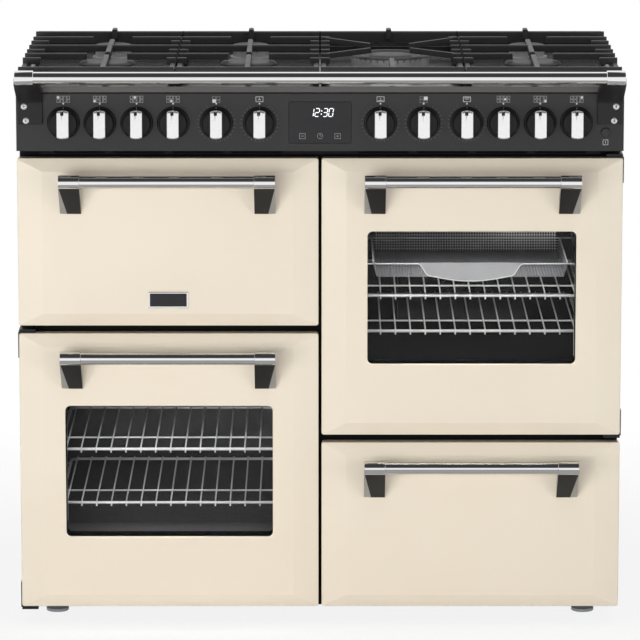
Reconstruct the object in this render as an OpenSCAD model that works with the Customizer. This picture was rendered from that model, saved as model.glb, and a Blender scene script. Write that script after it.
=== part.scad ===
// Free-standing dual fuel range cooker with four ovens and seven gas burners.
// X runs to the right, Y to the back and Z up. The origin is on the floor,
// under the middle of the outline. A depth is measured from the door faces.

/* [Overall] */
// Width over the doors
body_w = 1000; // [980:5:1040]
// Depth from the door faces to the rear edge of the sides
body_d = 600; // [590:5:640]
// Height of the carcass underside above the floor
foot_h = 24; // [20:1:60]
// Diameter of a foot pad
foot_pad_d = 38; // [30:1:50]

/* [Carcass] */
// Thickness of the folded sheet steel
sheet = 1.5; // [1:0.1:1.8]
// Play between pieces that are assembled together
fit = 0.3; // [0.2:0.05:0.4]
// Distance from the door faces to the carcass front
front_gap = 50; // [49:0.5:54]
// How far the back panel is set in from the rear edge
back_inset = 40; // [30:1:50]
// Width of the folded flanges
flange = 16; // [12:1:20]
// Gap between the front frame's vent strip and the doors below it
vent_lift = 3.5; // [3:0.5:5]

/* [Ovens] */
// Distance from a door's side edge to the oven's opening
cavity_side = 53.75; // [53:0.25:60]
// Depth of every oven
cavity_d = 410; // [380:5:430]
// Distance from a door's upper or lower edge to the oven's opening
cavity_end = 40.5; // [39:0.5:48]
// Thickness of the glass wool round an oven
wool = 28; // [20:1:32]
// Width of the door seals
seal_w = 12; // [8:1:14]

/* [Doors] */
// Height of the two tall doors
tall_door_h = 466; // [450:1:480]
// Height of the two short doors
short_door_h = 281; // [270:1:300]
// Gap between doors above each other
door_gap = 13; // [12:0.5:16]
// Gap between the left and right doors
centre_gap = 5; // [3:0.5:8]
// Height of the door bottoms above the carcass underside
door_lift = 7; // [6.5:0.5:10]
// Thickness of a door
door_t = 44; // [40:0.5:45]
// Width of the bevel along a door's sides
bevel_side = 40; // [20:1:50]
// Width of the bevel along a door's top and bottom
bevel_end = 20; // [12:1:26]
// How far the bevel falls back
bevel_fall = 9; // [5:0.5:10]
// Radius of a door's corners
door_corner = 4; // [2:0.5:6]
// Depth of the outer panel's returns
skin_d = 30; // [26:1:34]
// Width of a window
window_w = 345; // [300:5:350]
// Height of a window
window_h = 223; // [180:1:240]
// Corner radius of a window
window_r = 8.5; // [4:0.5:14]
// Thickness of the window glass
glass_t = 4; // [3:0.5:5]
// How far the glass reaches past its opening
glass_lap = 12; // [8:1:14]

/* [Door handles] */
// Length of a door handle
handle_len = 356; // [250:1:400]
// Diameter of the handle bar
handle_bar_d = 19.5; // [16:0.5:22]
// Diameter of the handle ferrules
handle_ferrule_d = 22.5; // [20:0.5:28]
// Length of a ferrule
ferrule_len = 35; // [25:1:45]
// Distance from a door's top edge to the handle's axis
handle_drop = 31.5; // [28:0.5:45]
// Distance from the door's face to the handle's axis
handle_reach = 50; // [40:1:56]
// Height of a handle leg, from the axis down to its foot's lower edge
leg_h = 60; // [45:1:70]
// Width of a leg at its foot
leg_foot_w = 23; // [16:1:30]

/* [Hinges] */
// Diameter of the hinge pins
pin_d = 8; // [6:0.5:9]
// Running play round a hinge pin
pin_play = 0.3; // [0.2:0.05:0.5]
// Distance from a side-hung door's hinge edge to its pin
side_pin_in = 14; // [12:0.5:16]
// Depth of a side-hung door's pin
side_pin_depth = 22; // [20:0.5:24]
// Height of a drop-down door's pin above the door's lower edge
drop_pin_up = 10; // [9:0.5:12]
// Depth of a drop-down door's pin
drop_pin_depth = 16; // [15.5:0.5:18]
// Thickness of a hinge arm
arm_t = 4; // [3:0.5:4.5]
// Width of a side-hung door's hinge arm
arm_w = 27; // [22:1:32]
// Height of a hinge strap on a door's side
strap_h = 43; // [30:1:60]

/* [Control panel] */
// Height of the control panel
fascia_h = 95; // [90:1:110]
// Width of the clock panel
clock_w = 103; // [80:1:120]
// Height of the clock panel
clock_h = 69; // [50:1:75]
// Distance from the side to the outermost knob
outer_knob_in = 78; // [74:0.5:84]
// Diameter of a knob's trim ring
knob_ring_d = 54; // [48:1:58]
// Diameter of a knob's body
knob_body_d = 46; // [40:1:48]
// How far a knob stands out
knob_reach = 30; // [24:1:36]
// Width of a knob's grip
grip_w = 19; // [14:1:24]
// Diameter of a knob's spindle
spindle_d = 8; // [6:0.5:9]
// Diameter of the push button
button_d = 15; // [10:1:20]
// Travel of the push button
button_travel = 2.5; // [1:0.5:3]
// Place of the push button, from the side
button_in = 30; // [22:1:45]

/* [Towel rail] */
// Distance from the side to a rail bracket
bracket_side = 6; // [4:0.5:20]
// How far the rail reaches past its brackets
rail_overhang = 4.5; // [2:0.5:5]
// Diameter of the rail
rail_d = 19.5; // [16:0.5:24]
// Diameter of the rail's ferrules
rail_ferrule_d = 24; // [20:0.5:28]
// Length of a rail ferrule
rail_ferrule_len = 31; // [25:1:40]
// Distance from the control panel to the rail's axis
rail_reach = 52; // [48:1:60]
// Height of the rail's axis above the control panel's top
rail_rise = 33; // [28:1:40]
// Width of a rail bracket
bracket_w = 38; // [30:1:44]

/* [Hob] */
// Height of the hob tray's rim
rim_h = 12; // [10:0.5:16]
// Thickness of the hob tray's floor
tray_floor_t = 2; // [1.5:0.1:3]
// Depth of the tray's well below its rim
well_depth = 8; // [6:0.5:9]
// Height of the pan supports above the rim
support_rise = 29; // [24:1:36]
// Width of an inner pan support
inner_support_w = 237; // [225:1:240]
// Distance from the hob's side to the outer pan supports
support_side = 2.5; // [1.5:0.5:12]
// Gap between pan supports
support_gap = 3; // [2:0.5:5]
// Depth at which the pan supports start
support_front = 24; // [20:1:40]
// Length of the pan supports from front to back
support_len = 499; // [480:1:510]
// Width of a pan support bar
bar_w = 9; // [7:0.5:12]
// Reach of the short stub bars at the hob's own sides
outer_stub = 30; // [16:1:40]
// Reach of the short stub bars beside another pan support
inner_stub = 15; // [11:1:24]
// Free radius kept by the long bars round a burner's middle
burner_clear = 34; // [28:1:40]
// Depth of the front burners
front_burner_depth = 212; // [200:1:220]
// Depth of the rear burners
rear_burner_depth = 446; // [430:1:455]
// Depth of the wok burner
wok_depth = 322; // [310:1:335]
// How far the outer burners lie inwards of their supports' middle
outer_burner_in = 10.5; // [0:0.5:16]
// Cap diameter of the front burners
front_cap_d = 96; // [80:1:100]
// Cap diameter of the rear burners
rear_cap_d = 68; // [55:1:80]
// Diameter of the wok burner's outer crown
wok_d = 130; // [110:1:140]
// Cap diameter of the wok burner's middle
wok_cap_d = 72; // [60:1:80]

/* [Oven contents] */
// Thickness of a shelf's frame wires
frame_wire = 6; // [5:0.5:8]
// Thickness of a shelf's cross wires
cross_wire = 3.4; // [3:0.2:4.4]
// Distance between cross wires
wire_pitch = 25; // [20:1:32]
// Heights of the main oven's shelves above its floor
main_shelf_z = [124, 216];
// Heights of the fan oven's shelves above its floor
fan_shelf_z = [124, 184];
// Height of the slow cook oven's shelf above its floor
slow_shelf_z = 66; // [40:1:120]
// Depth at which the shelves start
shelf_front = 72; // [66:1:90]
// Length of a shelf from front to back
shelf_len = 350; // [300:5:370]
// Width of the frying basket
basket_w = 325; // [280:5:340]
// Height of the frying basket
basket_h = 30; // [24:1:60]
// Length of the frying basket from front to back
basket_len = 265; // [220:5:320]
// Diameter of the convection fan
fan_d = 150; // [120:5:170]
// Number of fan blades
fan_blades = 10; // [6:1:14]
// Diameter of the grill element's tube
element_d = 7; // [6:0.5:9]

/* [Hidden] */
$fn = 48;
eps = 0.01;

enamel_cream = "#efe5d4";
enamel_black = "#2b2b2d";
panel_grey = "#3f3f41";
chrome_col = "#c9ccd0";
iron_col = "#333334";

// Overall frame
total_d = body_d + rail_reach + rail_ferrule_d / 2;
door_y = -total_d / 2 + rail_reach + rail_ferrule_d / 2;
carcass_w = body_w - 4;
inner_half = carcass_w / 2 - sheet - fit;
back_depth = body_d - back_inset;

// Heights
door_z = foot_h + door_lift;
upper_left_z = door_z + tall_door_h + door_gap;
upper_right_z = door_z + short_door_h + door_gap;
doors_top = upper_left_z + short_door_h;
fascia_z = doors_top + door_gap;
fascia_top = fascia_z + fascia_h;
rim_z = fascia_top + rim_h;
well_z = rim_z - well_depth;
support_z = rim_z + support_rise;
knob_z = fascia_z + fascia_h / 2 - 0.5;
rail_z = fascia_top + rail_rise;

// Doors: width, middle of the columns
door_w = (body_w - centre_gap) / 2;
column_x = centre_gap / 2 + door_w / 2;
cavity_w = door_w - 2 * cavity_side;
tall_cavity_h = tall_door_h - 2 * cavity_end;
short_cavity_h = short_door_h - 2 * cavity_end;
left = -1;
right = 1;

// Ovens: floor heights, each oven centred behind its door
grill_floor = upper_left_z + (short_door_h - short_cavity_h) / 2;
main_floor = door_z + (tall_door_h - tall_cavity_h) / 2;
fan_floor = upper_right_z + (tall_door_h - tall_cavity_h) / 2;
slow_floor = door_z + (short_door_h - short_cavity_h) / 2;
cavity_front = front_gap + sheet;
cavity_back = cavity_front + cavity_d;

// Door details
liner_front = bevel_fall + sheet + 2;
liner_w = door_w - 2 * (sheet + fit);
drop_arm_x = door_w / 2 - 23;
drop_arm_h = 10;
arm_slot = arm_t + 3;
lug_t = 3;
strap_t = sheet;
boss_d = pin_d + 6;
boss_h = 14;
arm_play = 0.5;

// Carcass details
vent_pitch = door_w / 5.1;
vent_web = 14;
vent_strip_proud = 20;
stem_d = 10;
foot_side = 50;
foot_inset = 60;
liner_lip = 8;

// Control panel details
hole_play = 1;
button_down = 16;
spindle_in = 20;
tap_d = 26;
tap_len = 38;
manifold_d = 16;
manifold_depth = sheet + fit + tap_len + manifold_d / 2;
ring_gap = 0.5;
ring_t = 3.5;
body_t = 13;
clock_box_d = 16;
knob_gaps = [21, 17, 17, 6, 6.5, 6];
knob_room = body_w / 2 - outer_knob_in - (len(knob_gaps) - 0.5) * knob_ring_d - clock_w / 2;
gap_share = knob_room / sum_to(knob_gaps, len(knob_gaps) - 1);
knob_x = [for (i = [0 : len(knob_gaps) - 1])
    clock_w / 2 + gap_share * sum_to(knob_gaps, i) + (i + 0.5) * knob_ring_d];
knob_places = [-knob_x[5], -knob_x[4], -knob_x[3], -knob_x[2], knob_x[3], knob_x[4], knob_x[5],
               -knob_x[1], -knob_x[0], knob_x[0], knob_x[1], knob_x[2]];
button_x = body_w / 2 - button_in;
button_stem_d = 6;
switch_w = 36;
switch_t = 30;
inlet_d = 20.9;
inlet_x = body_w / 2 - 45;
inlet_z = knob_z;
inlet_nut_w = 32;
inlet_nut_t = 14;

// Towel rail details
bracket_t = 5;
screw_d = 5;
screw_head_d = 9;
screw_head_t = 2.5;
bracket_in = body_w / 2 - bracket_side;
rail_len = 2 * (bracket_in + rail_overhang);

// Burner details
cup_in = 16;
cup_h = 14;
crown_h = 17;
electrode_turn = 58;

// Oven contents
ladder_x = cavity_w / 2 - cross_wire / 2 - fit;
rung_x = ladder_x - 7;
shelf_w = 2 * rung_x + frame_wire;
grill_pan_z = 60;
tall_top_rung = tall_cavity_h - 75;
short_top_rung = short_cavity_h - 70;
basket_down = 147;
basket_z = tall_cavity_h - basket_down;
second_bar = 90;
basket_plate_w = 174;
basket_plate_drop = 29;
element_drop = 26;
element_r = 22;
element_len = 240;
fan_h = 18;
fan_hub_d = 30;
fan_rear_gap = 6;
motor_len = 40;
shaft_d = 8;
motor_d = 70;
fan_z = fan_floor + tall_cavity_h / 2;
cover_depth = 34;

// Pan support details
bar_h = 11;
side_drop = bar_h - 3;
side_h = 14;
end_h = 19;
foot_len = 14;
support_y = [for (f = [0, 0.25, 0.373, 0.483, 0.605, 0.727, 0.845, 1])
    support_front + bar_w / 2 + f * (support_len - bar_w)];
stop_rise = 6;
outer_support_w = body_w / 2 - support_side - 1.5 * support_gap - inner_support_w;
outer_x = support_gap * 1.5 + inner_support_w + outer_support_w / 2;
inner_x = (support_gap + inner_support_w) / 2;
outer_burner_x = outer_x - outer_burner_in;
inner_burner_x = inner_x;

// Moves a child to a place given by its x, its depth behind the door faces and its z
module at(x, depth, z) {
    translate([x, door_y + depth, z]) children();
}

// Sum of a list's values up to the one numbered n
function sum_to(list, n) = n < 0 ? 0 : list[n] + sum_to(list, n - 1);

// Box centred in x, from a depth and a height on
module slab(w, d, h) {
    translate([-w / 2, 0, 0]) cube([w, d, h]);
}

// Cylinder along Y, from depth zero backwards
module rod_y(d, len) {
    rotate([-90, 0, 0]) cylinder(d = d, h = len);
}

// Cylinder along X, centred
module rod_x(d, len) {
    rotate([0, 90, 0]) cylinder(d = d, h = len, center = true);
}

// Rectangle with round corners, centred
module rounded_rect(w, h, r) {
    square([w - 2 * r, h], center = true);
    square([w, h - 2 * r], center = true);
    for (x = [-1, 1], y = [-1, 1])
        translate([x * (w / 2 - r), y * (h / 2 - r)]) circle(r);
}

// Upright plate with round corners, standing on z = 0 and reaching back from y = 0
module upright_plate(w, h, r, t) {
    translate([0, t, h / 2]) rotate([90, 0, 0]) linear_extrude(t) rounded_rect(w, h, r);
}

// Carcass

module side_panel() {
    h = fascia_top - foot_h;
    at(carcass_w / 2 - sheet, front_gap, foot_h) {
        cube([sheet, body_d - front_gap, h]);
        translate([-flange, body_d - front_gap - sheet, 0]) cube([flange + eps, sheet, h]);
        translate([-flange, flange, h - sheet])
            cube([flange + eps, body_d - front_gap - 2 * flange, sheet]);
    }
}

module side_panels() {
    color(enamel_black) {
        side_panel();
        mirror([1, 0, 0]) side_panel();
    }
}

module back_panel() {
    h = fascia_top - foot_h - 2 * sheet - 2 * fit;
    slot = [60, 5];
    color("#8b8d90") difference() {
        at(0, back_depth - sheet, foot_h + sheet + fit) slab(2 * inner_half, sheet, h);
        for (side = [left, right], i = [0 : 7], j = [-1 : 1])
            at(side * column_x + j * 1.3 * slot[0], back_depth - 2 * sheet,
               fascia_z - 60 - i * 3 * slot[1])
                slab(slot[0], 3 * sheet, slot[1]);
        at(inlet_x, back_depth - 2 * sheet, inlet_z) rod_y(inlet_d + 4, 3 * sheet);
    }
}

module chassis() {
    d = back_depth - sheet - fit - cavity_front;
    deck_z = fascia_z - 1;
    color("#77797c") {
        difference() {
            at(0, cavity_front, foot_h) slab(2 * inner_half, d, sheet);
            foot_places() translate([0, 0, foot_h - 1]) cylinder(d = stem_d + 2 * fit, h = 4 * sheet);
        }
        at(0, cavity_front, foot_h) slab(sheet, d, deck_z - foot_h);
        at(-inner_half, cavity_front, upper_left_z - door_gap / 2)
            cube([inner_half, d, sheet]);
        at(0, cavity_front, upper_right_z - door_gap / 2) cube([inner_half, d, sheet]);
        at(0, cavity_front, deck_z) slab(2 * inner_half, d, sheet);
    }
}

// One front plate behind all doors, with the cooling slots above them
module front_frame() {
    top = fascia_z - fit;
    strip_z = doors_top + vent_lift;
    strip_depth = front_gap - vent_strip_proud;
    strip_w = body_w - 2 * (arm_w + vent_strip_proud / 2);
    color(enamel_black) difference() {
        union() {
            at(0, front_gap, foot_h) slab(2 * inner_half, sheet, top - foot_h);
            at(0, strip_depth, strip_z) slab(strip_w, sheet, top - strip_z);
            at(0, strip_depth, top - sheet) slab(strip_w, front_gap - strip_depth + eps, sheet);
        }
        cavity_mouths(eps);
        for (side = [left, right], i = [-1.5 : 1.5])
            at(side * column_x + i * vent_pitch, strip_depth - 1, strip_z + sheet)
                slab(vent_pitch - vent_web, front_gap, top - 3 * sheet - strip_z);
    }
}

module cavity_mouths(play) {
    mouths = [[left, grill_floor, short_cavity_h], [left, main_floor, tall_cavity_h],
              [right, fan_floor, tall_cavity_h], [right, slow_floor, short_cavity_h]];
    for (m = mouths)
        at(m[0] * column_x, front_gap - 1, m[1] - play)
            slab(cavity_w + 2 * play, sheet + 2, m[2] + 2 * play);
}

// Five-walled oven with a lip behind the front frame
module liner(side, floor_z, h, rear_hole) {
    w = cavity_w + 2 * sheet;
    lip = liner_lip;
    color("#1f1f21") difference() {
        union() {
            at(side * column_x, cavity_front, floor_z - sheet) slab(w, cavity_d + sheet, h + 2 * sheet);
            at(side * column_x, cavity_front, floor_z - sheet - lip)
                slab(w + 2 * lip, sheet, h + 2 * sheet + 2 * lip);
        }
        at(side * column_x, cavity_front - 1, floor_z) slab(cavity_w, cavity_d + 1, h);
        if (rear_hole > 0)
            at(side * column_x, cavity_back - 1, floor_z + h / 2) rod_y(rear_hole, sheet + 2);
    }
}

module grill_cavity() {
    liner(left, grill_floor, short_cavity_h, 0);
}

module main_oven_cavity() {
    liner(left, main_floor, tall_cavity_h, 0);
}

module fan_oven_cavity() {
    liner(right, fan_floor, tall_cavity_h, shaft_d + 4);
}

module slow_cook_cavity() {
    liner(right, slow_floor, short_cavity_h, 0);
}

module blanket(side, floor_z, h) {
    start = cavity_front + sheet + liner_lip;
    gap = sheet + fit;
    difference() {
        at(side * column_x, start, floor_z - gap - wool)
            slab(cavity_w + 2 * (gap + wool), cavity_back + fit + sheet + wool - start,
                 h + 2 * (gap + wool));
        at(side * column_x, start - 1, floor_z - gap)
            slab(cavity_w + 2 * gap, cavity_back + sheet + fit - start + 1, h + 2 * gap);
        at(side * column_x, cavity_back, floor_z + h / 2) rod_y(motor_d + 4, wool + 2 * sheet);
    }
}

module insulation() {
    color("#d8c98a") {
        blanket(left, grill_floor, short_cavity_h);
        blanket(left, main_floor, tall_cavity_h);
        blanket(right, fan_floor, tall_cavity_h);
        blanket(right, slow_floor, short_cavity_h);
    }
}

module seal(side, floor_z, h) {
    depth = door_t + fit;
    difference() {
        at(side * column_x, depth, floor_z - seal_w)
            slab(cavity_w + 2 * seal_w, front_gap - depth, h + 2 * seal_w);
        at(side * column_x, depth - 1, floor_z) slab(cavity_w, front_gap, h);
    }
}

module door_seals() {
    color("#55565a") {
        seal(left, grill_floor, short_cavity_h);
        seal(left, main_floor, tall_cavity_h);
        seal(right, fan_floor, tall_cavity_h);
        seal(right, slow_floor, short_cavity_h);
    }
}

module foot_places() {
    for (side = [left, right], depth = [front_gap + foot_inset, back_depth - foot_inset])
        at(side * (inner_half - foot_side), depth, 0) children();
}

module feet() {
    pad_h = 8;
    nut_h = 6;
    color("#4a4b4d") foot_places() {
        rotate_extrude() polygon([[0, 0], [foot_pad_d / 2 - 1, 0], [foot_pad_d / 2, 1],
            [foot_pad_d / 2, pad_h - 3], [foot_pad_d / 2 - 8, pad_h], [0, pad_h]]);
        cylinder(d = stem_d, h = foot_h + sheet + 12);
        translate([0, 0, foot_h - nut_h]) cylinder(d = 19, h = nut_h, $fn = 6);
    }
}

// Doors, each drawn round its own lower middle with its face at y = 0

// Slab whose four front edges fall back in wide bevels that meet in mitres
module bevelled(w, h, t, side, end, fall, r) {
    intersection() {
        linear_extrude(h) polygon([[-w / 2, fall], [side - w / 2, 0], [w / 2 - side, 0],
            [w / 2, fall], [w / 2, t], [-w / 2, t]]);
        translate([-w / 2, 0, 0]) rotate([90, 0, 90]) linear_extrude(w)
            polygon([[fall, 0], [0, end], [0, h - end], [fall, h], [t, h], [t, 0]]);
        translate([0, -1, 0]) upright_plate(w, h, r, t + 2);
    }
}

module door_skin(h, window, bosses, slots) {
    color(enamel_cream) difference() {
        bevelled(door_w, h, skin_d, bevel_side, bevel_end, bevel_fall, door_corner);
        translate([0, sheet, sheet])
            bevelled(door_w - 2 * sheet, h - 2 * sheet, skin_d, bevel_side, bevel_end, bevel_fall,
                     door_corner - sheet / 2);
        if (window)
            translate([0, -1, (h - window_h) / 2]) upright_plate(window_w, window_h, window_r, 9);
        if (bosses != 0)
            translate([bosses * (door_w / 2 - side_pin_in), side_pin_depth, -1])
                cylinder(d = boss_d + 2 * fit, h = h + 2);
        if (slots) arm_slots();
    }
}

module arm_slots() {
    for (x = [-1, 1])
        translate([x * drop_arm_x, drop_pin_depth - drop_arm_h / 2 - 0.8, -1])
            slab(arm_slot, door_t, drop_pin_up + drop_arm_h / 2 + 3.5);
}

// Steel pan that closes the door's back, with the window's collar
module door_pan(h, window) {
    collar = [window_w + 2 * glass_lap, window_h + 2 * glass_lap];
    collar_front = 2 * fit + sheet + glass_t;
    inner_h = h - 2 * (sheet + fit);
    difference() {
        translate([0, liner_front, sheet + fit])
            upright_plate(liner_w, inner_h, door_corner, door_t - liner_front);
        translate([0, liner_front - 1, 2 * sheet + fit])
            upright_plate(liner_w - 2 * sheet, inner_h - 2 * sheet, door_corner - sheet / 2,
                          door_t - liner_front + 1 - sheet);
        if (window)
            translate([0, 0, (h - window_h) / 2]) upright_plate(window_w, window_h, window_r, 60);
    }
    if (window) difference() {
        translate([0, collar_front, h / 2 - collar[1] / 2 - sheet])
            slab(collar[0] + 2 * sheet, door_t - sheet + eps - collar_front,
                 collar[1] + 2 * sheet);
        translate([0, 0, h / 2 - collar[1] / 2]) slab(collar[0], door_t, collar[1]);
    }
}

// Strap on a side-hung door's corner, with the boss that turns on the pin
module hinge_strap(side) {
    edge = side * door_w / 2;
    difference() {
        union() {
            translate([side > 0 ? edge + eps : edge - strap_t - eps, bevel_fall + 1, -strap_t])
                cube([strap_t, skin_d - bevel_fall - 2, strap_h]);
            translate([side > 0 ? edge - arm_w : edge - strap_t, bevel_fall + 1, -strap_t - eps])
                cube([arm_w + strap_t, skin_d - bevel_fall - 2, strap_t]);
            translate([edge - side * side_pin_in, side_pin_depth, -strap_t - eps])
                cylinder(d = boss_d, h = boss_h);
        }
        translate([edge - side * side_pin_in, side_pin_depth, -strap_t - 1])
            cylinder(d = pin_d + 2 * pin_play, h = boss_h - 1);
    }
}

module side_hung_liner(h, side) {
    color(enamel_black) {
        difference() {
            door_pan(h, true);
            translate([side * (door_w / 2 - side_pin_in), side_pin_depth, -1])
                cylinder(d = boss_d - 1, h = h + 2);
        }
        hinge_strap(side);
        translate([0, 0, h]) mirror([0, 0, 1]) hinge_strap(side);
    }
}

// Liner of a drop-down door: two pairs of lugs carry the pins
module drop_liner(h) {
    lug_z = 2 * sheet + fit;
    lug_front = bevel_fall + sheet + 2 * fit;
    color(enamel_black) difference() {
        union() {
            difference() {
                door_pan(h, false);
                arm_slots();
            }
            for (x = [-1, 1], s = [-1, 1])
                translate([x * drop_arm_x + s * (arm_slot + lug_t) / 2, lug_front, lug_z - eps])
                    slab(lug_t, door_t - sheet - lug_front + eps, 2 * (drop_pin_up - lug_z));
        }
        translate([0, drop_pin_depth, drop_pin_up]) rod_x(pin_d - 2 + 2 * pin_play, door_w);
    }
}

module door_handle(h) {
    color(chrome_col) translate([0, -handle_reach, h - handle_drop]) {
        rod_x(handle_bar_d, handle_len - 2 * ferrule_len + 2 * eps);
        for (s = [-1, 1]) translate([s * (handle_len - ferrule_len) / 2, 0, 0])
            rotate([0, 90, 0]) rotate_extrude()
                polygon([[0, -ferrule_len / 2], [handle_ferrule_d / 2 - 1, -ferrule_len / 2],
                    [handle_ferrule_d / 2, 1 - ferrule_len / 2],
                    [handle_ferrule_d / 2, ferrule_len / 2 - 1],
                    [handle_ferrule_d / 2 - 1, ferrule_len / 2], [0, ferrule_len / 2]]);
    }
    color(panel_grey) for (s = [-1, 1]) difference() {
        translate([s * handle_len / 2, 0, h - handle_drop]) handle_leg(s);
        translate([0, -handle_reach, h - handle_drop])
            rod_x(handle_ferrule_d + 2 * fit, 2 * handle_len);
    }
}

// Leg that slants from under a ferrule back and down to its foot on the door
module handle_leg(s) {
    top_t = 15;
    foot_t = 3;
    foot_pad = 26;
    hull() {
        translate([s > 0 ? -ferrule_len : 0, -handle_reach - top_t / 2, -handle_ferrule_d / 2 - 3])
            cube([ferrule_len, top_t, 4]);
        translate([s > 0 ? -ferrule_len : ferrule_len - leg_foot_w, -foot_t, -leg_h])
            cube([leg_foot_w, foot_t, foot_pad]);
    }
}

module window_glass(h) {
    outer = [window_w + 2 * glass_lap + 8, window_h + 2 * glass_lap + 8];
    inner = [window_w + 2 * (glass_lap - fit), window_h + 2 * (glass_lap - fit)];
    color("#20242a", 0.5) {
        translate([0, sheet + fit, (h - outer[1]) / 2])
            upright_plate(outer[0], outer[1], window_r, glass_t);
        translate([0, door_t - sheet - fit - glass_t, (h - inner[1]) / 2])
            upright_plate(inner[0], inner[1], 3, glass_t);
    }
}

module grill_door_panel() {
    at(left * column_x, 0, upper_left_z) door_skin(short_door_h, false, 0, true);
}

module grill_door_liner() {
    at(left * column_x, 0, upper_left_z) drop_liner(short_door_h);
}

module grill_door_handle() {
    at(left * column_x, 0, upper_left_z) door_handle(short_door_h);
}

module main_door_panel() {
    at(left * column_x, 0, door_z) door_skin(tall_door_h, true, left, false);
}

module main_door_liner() {
    at(left * column_x, 0, door_z) side_hung_liner(tall_door_h, left);
}

module main_door_glass() {
    at(left * column_x, 0, door_z) window_glass(tall_door_h);
}

module main_door_handle() {
    at(left * column_x, 0, door_z) door_handle(tall_door_h);
}

module fan_door_panel() {
    at(right * column_x, 0, upper_right_z) door_skin(tall_door_h, true, right, false);
}

module fan_door_liner() {
    at(right * column_x, 0, upper_right_z) side_hung_liner(tall_door_h, right);
}

module fan_door_glass() {
    at(right * column_x, 0, upper_right_z) window_glass(tall_door_h);
}

module fan_door_handle() {
    at(right * column_x, 0, upper_right_z) door_handle(tall_door_h);
}

module slow_door_panel() {
    at(right * column_x, 0, door_z) door_skin(short_door_h, false, 0, true);
}

module slow_door_liner() {
    at(right * column_x, 0, door_z) drop_liner(short_door_h);
}

module slow_door_handle() {
    at(right * column_x, 0, door_z) door_handle(short_door_h);
}

// Arm below or above a side-hung door; up is 1 where the pin points up
module side_arm(side, z, up) {
    x = side * (column_x + door_w / 2);
    pin_x = x - side * side_pin_in;
    arm_z = up > 0 ? z - strap_t - arm_play - arm_t : z + strap_t + arm_play;
    pin_z = up > 0 ? arm_z + arm_t - eps : arm_z - boss_h + 3;
    at(side > 0 ? x - arm_w : x, side_pin_depth - 10, arm_z)
        cube([arm_w, front_gap - side_pin_depth + 10, arm_t]);
    at(pin_x, side_pin_depth, pin_z) cylinder(d = pin_d, h = boss_h - 3 + eps);
}

// Two arms and pins of a drop-down door
module drop_arms(side, z) {
    for (s = [-1, 1]) at(side * column_x + s * drop_arm_x, drop_pin_depth, z + drop_pin_up) {
        rod_x(drop_arm_h, arm_t);
        translate([0, 0, -drop_arm_h / 2])
            slab(arm_t, front_gap - drop_pin_depth, drop_arm_h);
        rod_x(pin_d - 2, arm_slot + 2 * lug_t);
    }
}

module door_hinges() {
    color(enamel_black) {
        side_arm(left, door_z, 1);
        side_arm(left, door_z + tall_door_h, -1);
        side_arm(right, upper_right_z, 1);
        side_arm(right, upper_right_z + tall_door_h, -1);
        drop_arms(left, upper_left_z);
        drop_arms(right, door_z);
    }
}

// Control panel

module fascia() {
    d = front_gap - 12;
    color(panel_grey) difference() {
        at(0, 0, fascia_z) slab(body_w, d, fascia_h);
        at(0, sheet, fascia_z + sheet) slab(body_w - 2 * sheet, d, fascia_h - 2 * sheet);
        for (x = knob_places) at(x, -1, knob_z) rod_y(spindle_d + 2 * hole_play, sheet + 2);
        at(0, -1, knob_z - clock_h / 2) upright_plate(clock_w + 2 * fit, clock_h + 2 * fit, 3, 9);
        at(button_x, -1, knob_z - button_down) rod_y(button_d + 2 * fit, sheet + 2);
        for (side = [left, right])
            bracket_screw_places(side) rod_y(screw_d + 2 * fit, bracket_t + sheet + 2);
    }
}

module clock_panel() {
    color("#1b1c1f") {
        at(0, -0.6, knob_z - clock_h / 2 + fit) upright_plate(clock_w, clock_h, 3, 3.6);
        at(0, 3 + fit, knob_z - clock_h / 2 + 5) slab(clock_w - 10, clock_box_d, clock_h - 10);
    }
}

module push_button() {
    proud = button_travel + 1;
    color(chrome_col) at(button_x, -proud, knob_z - button_down) {
        rotate([-90, 0, 0]) rotate_extrude() polygon([[0, 0], [button_d / 2 - 1, 0],
            [button_d / 2, 1], [button_d / 2, proud + 4], [0, proud + 4]]);
        rod_y(button_stem_d, proud + 16);
    }
}

module taps_and_switches() {
    seat = sheet + fit;
    bore = spindle_d + 2 * fit;
    neck = manifold_d - 2;
    button_seat = seat + 6;
    color("#a8935a") for (i = [0 : 6]) difference() {
        at(knob_places[i], seat, knob_z) {
            rod_y(tap_d, tap_len);
            translate([0, tap_len / 2, -neck / 2])
                slab(neck, tap_len / 2 + manifold_d / 2, neck);
        }
        at(knob_places[i], 0, knob_z) rod_y(bore, seat + spindle_in + 2);
        at(knob_places[i], manifold_depth, knob_z) rod_x(manifold_d + 2 * fit, 2 * tap_d);
    }
    color("#d9d9d2") for (i = [7 : 11]) difference() {
        at(knob_places[i], seat, knob_z - switch_w / 2) slab(switch_w, switch_t, switch_w);
        at(knob_places[i], 0, knob_z) rod_y(bore, seat + spindle_in + 2);
    }
    color("#d9d9d2") difference() {
        at(button_x, button_seat, knob_z - button_down - button_d * 2 / 3)
            slab(button_d * 4 / 3, 22, button_d * 4 / 3);
        at(button_x, 0, knob_z - button_down) rod_y(button_stem_d + 2 * fit, button_seat + 16);
    }
}

// Pipe behind the gas taps, led back to the threaded inlet
module gas_manifold() {
    color("#b08d4a") {
        at(0, manifold_depth, knob_z) translate([(inlet_x - knob_x[5] - 20) / 2, 0, 0])
            rod_x(manifold_d, inlet_x + knob_x[5] + 20);
        at(inlet_x, manifold_depth, knob_z) {
            sphere(d = manifold_d + 4);
            rod_y(manifold_d, back_depth - manifold_depth);
        }
        at(inlet_x, back_depth - inlet_nut_t - sheet, inlet_z) {
            rod_y(inlet_nut_w, inlet_nut_t - fit, $fn = 6);
            rod_y(inlet_d, inlet_nut_t + sheet + 20);
        }
    }
}

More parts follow.
